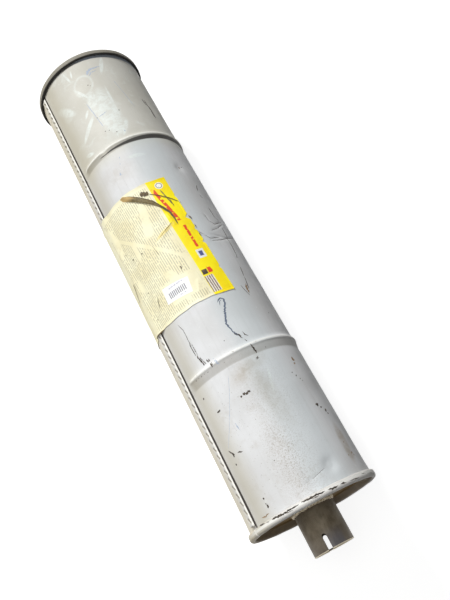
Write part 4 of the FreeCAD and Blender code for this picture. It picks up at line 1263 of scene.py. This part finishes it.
# Marks: name, paint, slot, streaks, spots, the surface under them, lift over it and raggedness
for name, paint, slot, *marks in (
    ("dark_marks", bare_dark, "body_enamel", DARK_STREAKS, DARK_SPOTS, shell_radius),
    ("rust_marks", rust, "body_enamel", RUST_STREAKS, RUST_SPOTS, shell_radius, 0.1),
    ("blue_marks", blue_smear, "body_enamel", BLUE_STREAKS, [], shell_radius, 0.09),
    ("pale_marks", pale_smear, "body_enamel", PALE_BLUE_STREAKS, [], shell_radius, 0.05),
    ("label_fold", fold_paper(), "label_paper", FOLD_STREAKS, [], over_label, 0.3, 0.1),
    ("label_tears", torn_edge, "label_paper", TEAR_STREAKS, TEAR_SPOTS, over_label, 0.42, 0.5),
    ("rim_chips", bare_dark, "cap_enamel", RIM_CHIPS, [], over_rim, 0.02),
):
    finish_piece(make_marks(name, *marks), paint, slot)

inner_steel = plain("inner_steel", rgb(150, 148, 144), rgb(120, 118, 114), 0.4, 0.8)
wire = plain("steel_wool", rgb(120, 118, 114), rgb(70, 68, 66), 0.5, 0.7, 1.2, 0.6)
glass_wool = plain("sound_wool", rgb(226, 214, 160), rgb(196, 180, 120), 0.9, 0.0, 0.8, 0.8)
finish_piece(make_wool(), glass_wool, "sound_wool", "sound_wool")
INNER = {"core_tube": inner_steel, "steel_wool_wrap": wire}
for end in ("inlet", "outlet"):
    INNER[f"{end}_baffle"] = inner_steel
    INNER[f"{end}_core_weld"] = inner_steel
for node, paint in INNER.items():
    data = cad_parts[node].data
    data.materials.clear()
    data.materials.append(paint.material)


# Stage: floor, sky, lamps and camera

FLOOR_HALF = 2.5
FLOOR_GREY = (0.42, 0.42, 0.42, 1)
FLOOR_GLOW = 0.85
SKY_TINT = (1.0, 0.985, 0.96, 1)
SKY_STRENGTH = 0.08
CAMERA_PLACE = (430.99, -153.17, 830.04)
CAMERA_FORWARD = Vector((-0.39541, 0.19607, -0.89733))
FOCAL_PIXELS = 681.11
PHOTO_HEIGHT = 600
SENSOR = 36.0
# Lamps: name, direction from the middle, distance, size, power, colour
LAMPS = [
    ("key", (-1.25, -0.48, 1.0), 9.0, 1.8, 830, (1.0, 0.995, 0.97)),
    ("near", (0.28, -0.34, 1.0), 1.25, 0.8, 5.6, (0.99, 1.0, 0.995)),
    ("side", (0.1, -1.0, 0.08), 2.4, 0.6, 6, (1.0, 0.98, 0.94)),
]


def seen_share(tree):
    """1 for rays that show the background: from the camera, in reflections and through glass."""
    rays = tree.nodes.new("ShaderNodeLightPath")
    shares = [Value(rays.outputs[f"Is {kind} Ray"]) for kind in ("Camera", "Glossy", "Transmission")]
    return shares[0].most(*shares[1:])


def make_floor():
    """A pale floor under the rims that keeps the shadow and shows white where it is lit."""
    level = -RIM_RADIUS * MM
    corners = [(x * FLOOR_HALF, y * FLOOR_HALF, level) for x, y in ((-1, -1), (1, -1), (1, 1), (-1, 1))]
    floor = add_mesh("floor", corners, [(0, 1, 2, 3)])
    material = bpy.data.materials.new("floor")
    material.use_nodes = True
    tree = material.node_tree
    tree.nodes.clear()
    output = tree.nodes.new("ShaderNodeOutputMaterial")
    both = tree.nodes.new("ShaderNodeAddShader")
    diffuse = tree.nodes.new("ShaderNodeBsdfDiffuse")
    glow = tree.nodes.new("ShaderNodeEmission")
    put(diffuse.inputs["Color"], FLOOR_GREY)
    put(glow.inputs["Strength"], seen_share(tree) * FLOOR_GLOW)
    fill(both, {0: diffuse.outputs[0], 1: glow.outputs[0]})
    put(output.inputs[0], both.outputs[0])
    floor.data.materials.append(material)


def make_sky():
    """Even soft light from all round, before a white backdrop."""
    world = bpy.data.worlds.new("sky")
    bpy.context.scene.world = world
    world.use_nodes = True
    tree = world.node_tree
    light = tree.nodes["Background"]
    fill(light, {"Color": SKY_TINT, "Strength": SKY_STRENGTH})
    backdrop = tree.nodes.new("ShaderNodeBackground")
    put(backdrop.inputs["Color"], (1, 1, 1, 1))
    either = tree.nodes.new("ShaderNodeMixShader")
    fill(either, {0: seen_share(tree), 1: light.outputs[0], 2: backdrop.outputs[0]})
    put(tree.nodes["World Output"].inputs["Surface"], either.outputs[0])


def make_lamp(name, direction, distance, size, power, colour):
    """A square soft lamp that looks at the muffler's middle from a direction."""
    data = bpy.data.lights.new(name, "AREA")
    data.size = size
    data.energy = power
    data.color = colour
    lamp = bpy.data.objects.new(name, data)
    lamp.location = Vector(direction).normalized() * distance
    lamp.rotation_euler = (-lamp.location).to_track_quat("-Z", "Y").to_euler()
    bpy.context.scene.collection.objects.link(lamp)


def make_camera():
    """The photograph's camera, level along its right side."""
    back = -CAMERA_FORWARD.normalized()
    right = Vector((0, 0, 1)).cross(back).normalized()
    up = back.cross(right)
    data = bpy.data.cameras.new("camera")
    data.sensor_width = SENSOR
    data.lens = FOCAL_PIXELS * SENSOR / PHOTO_HEIGHT
    data.clip_start = 0.01
    camera = bpy.data.objects.new("camera", data)
    turned = Matrix((right, up, back)).transposed().to_4x4()
    camera.matrix_world = Matrix.Translation(Vector(CAMERA_PLACE) * MM) @ turned
    bpy.context.scene.collection.objects.link(camera)
    bpy.context.scene.camera = camera


make_floor()
make_sky()
for lamp in LAMPS:
    make_lamp(*lamp)
make_camera()
bpy.context.scene.view_settings.view_transform = "Standard"
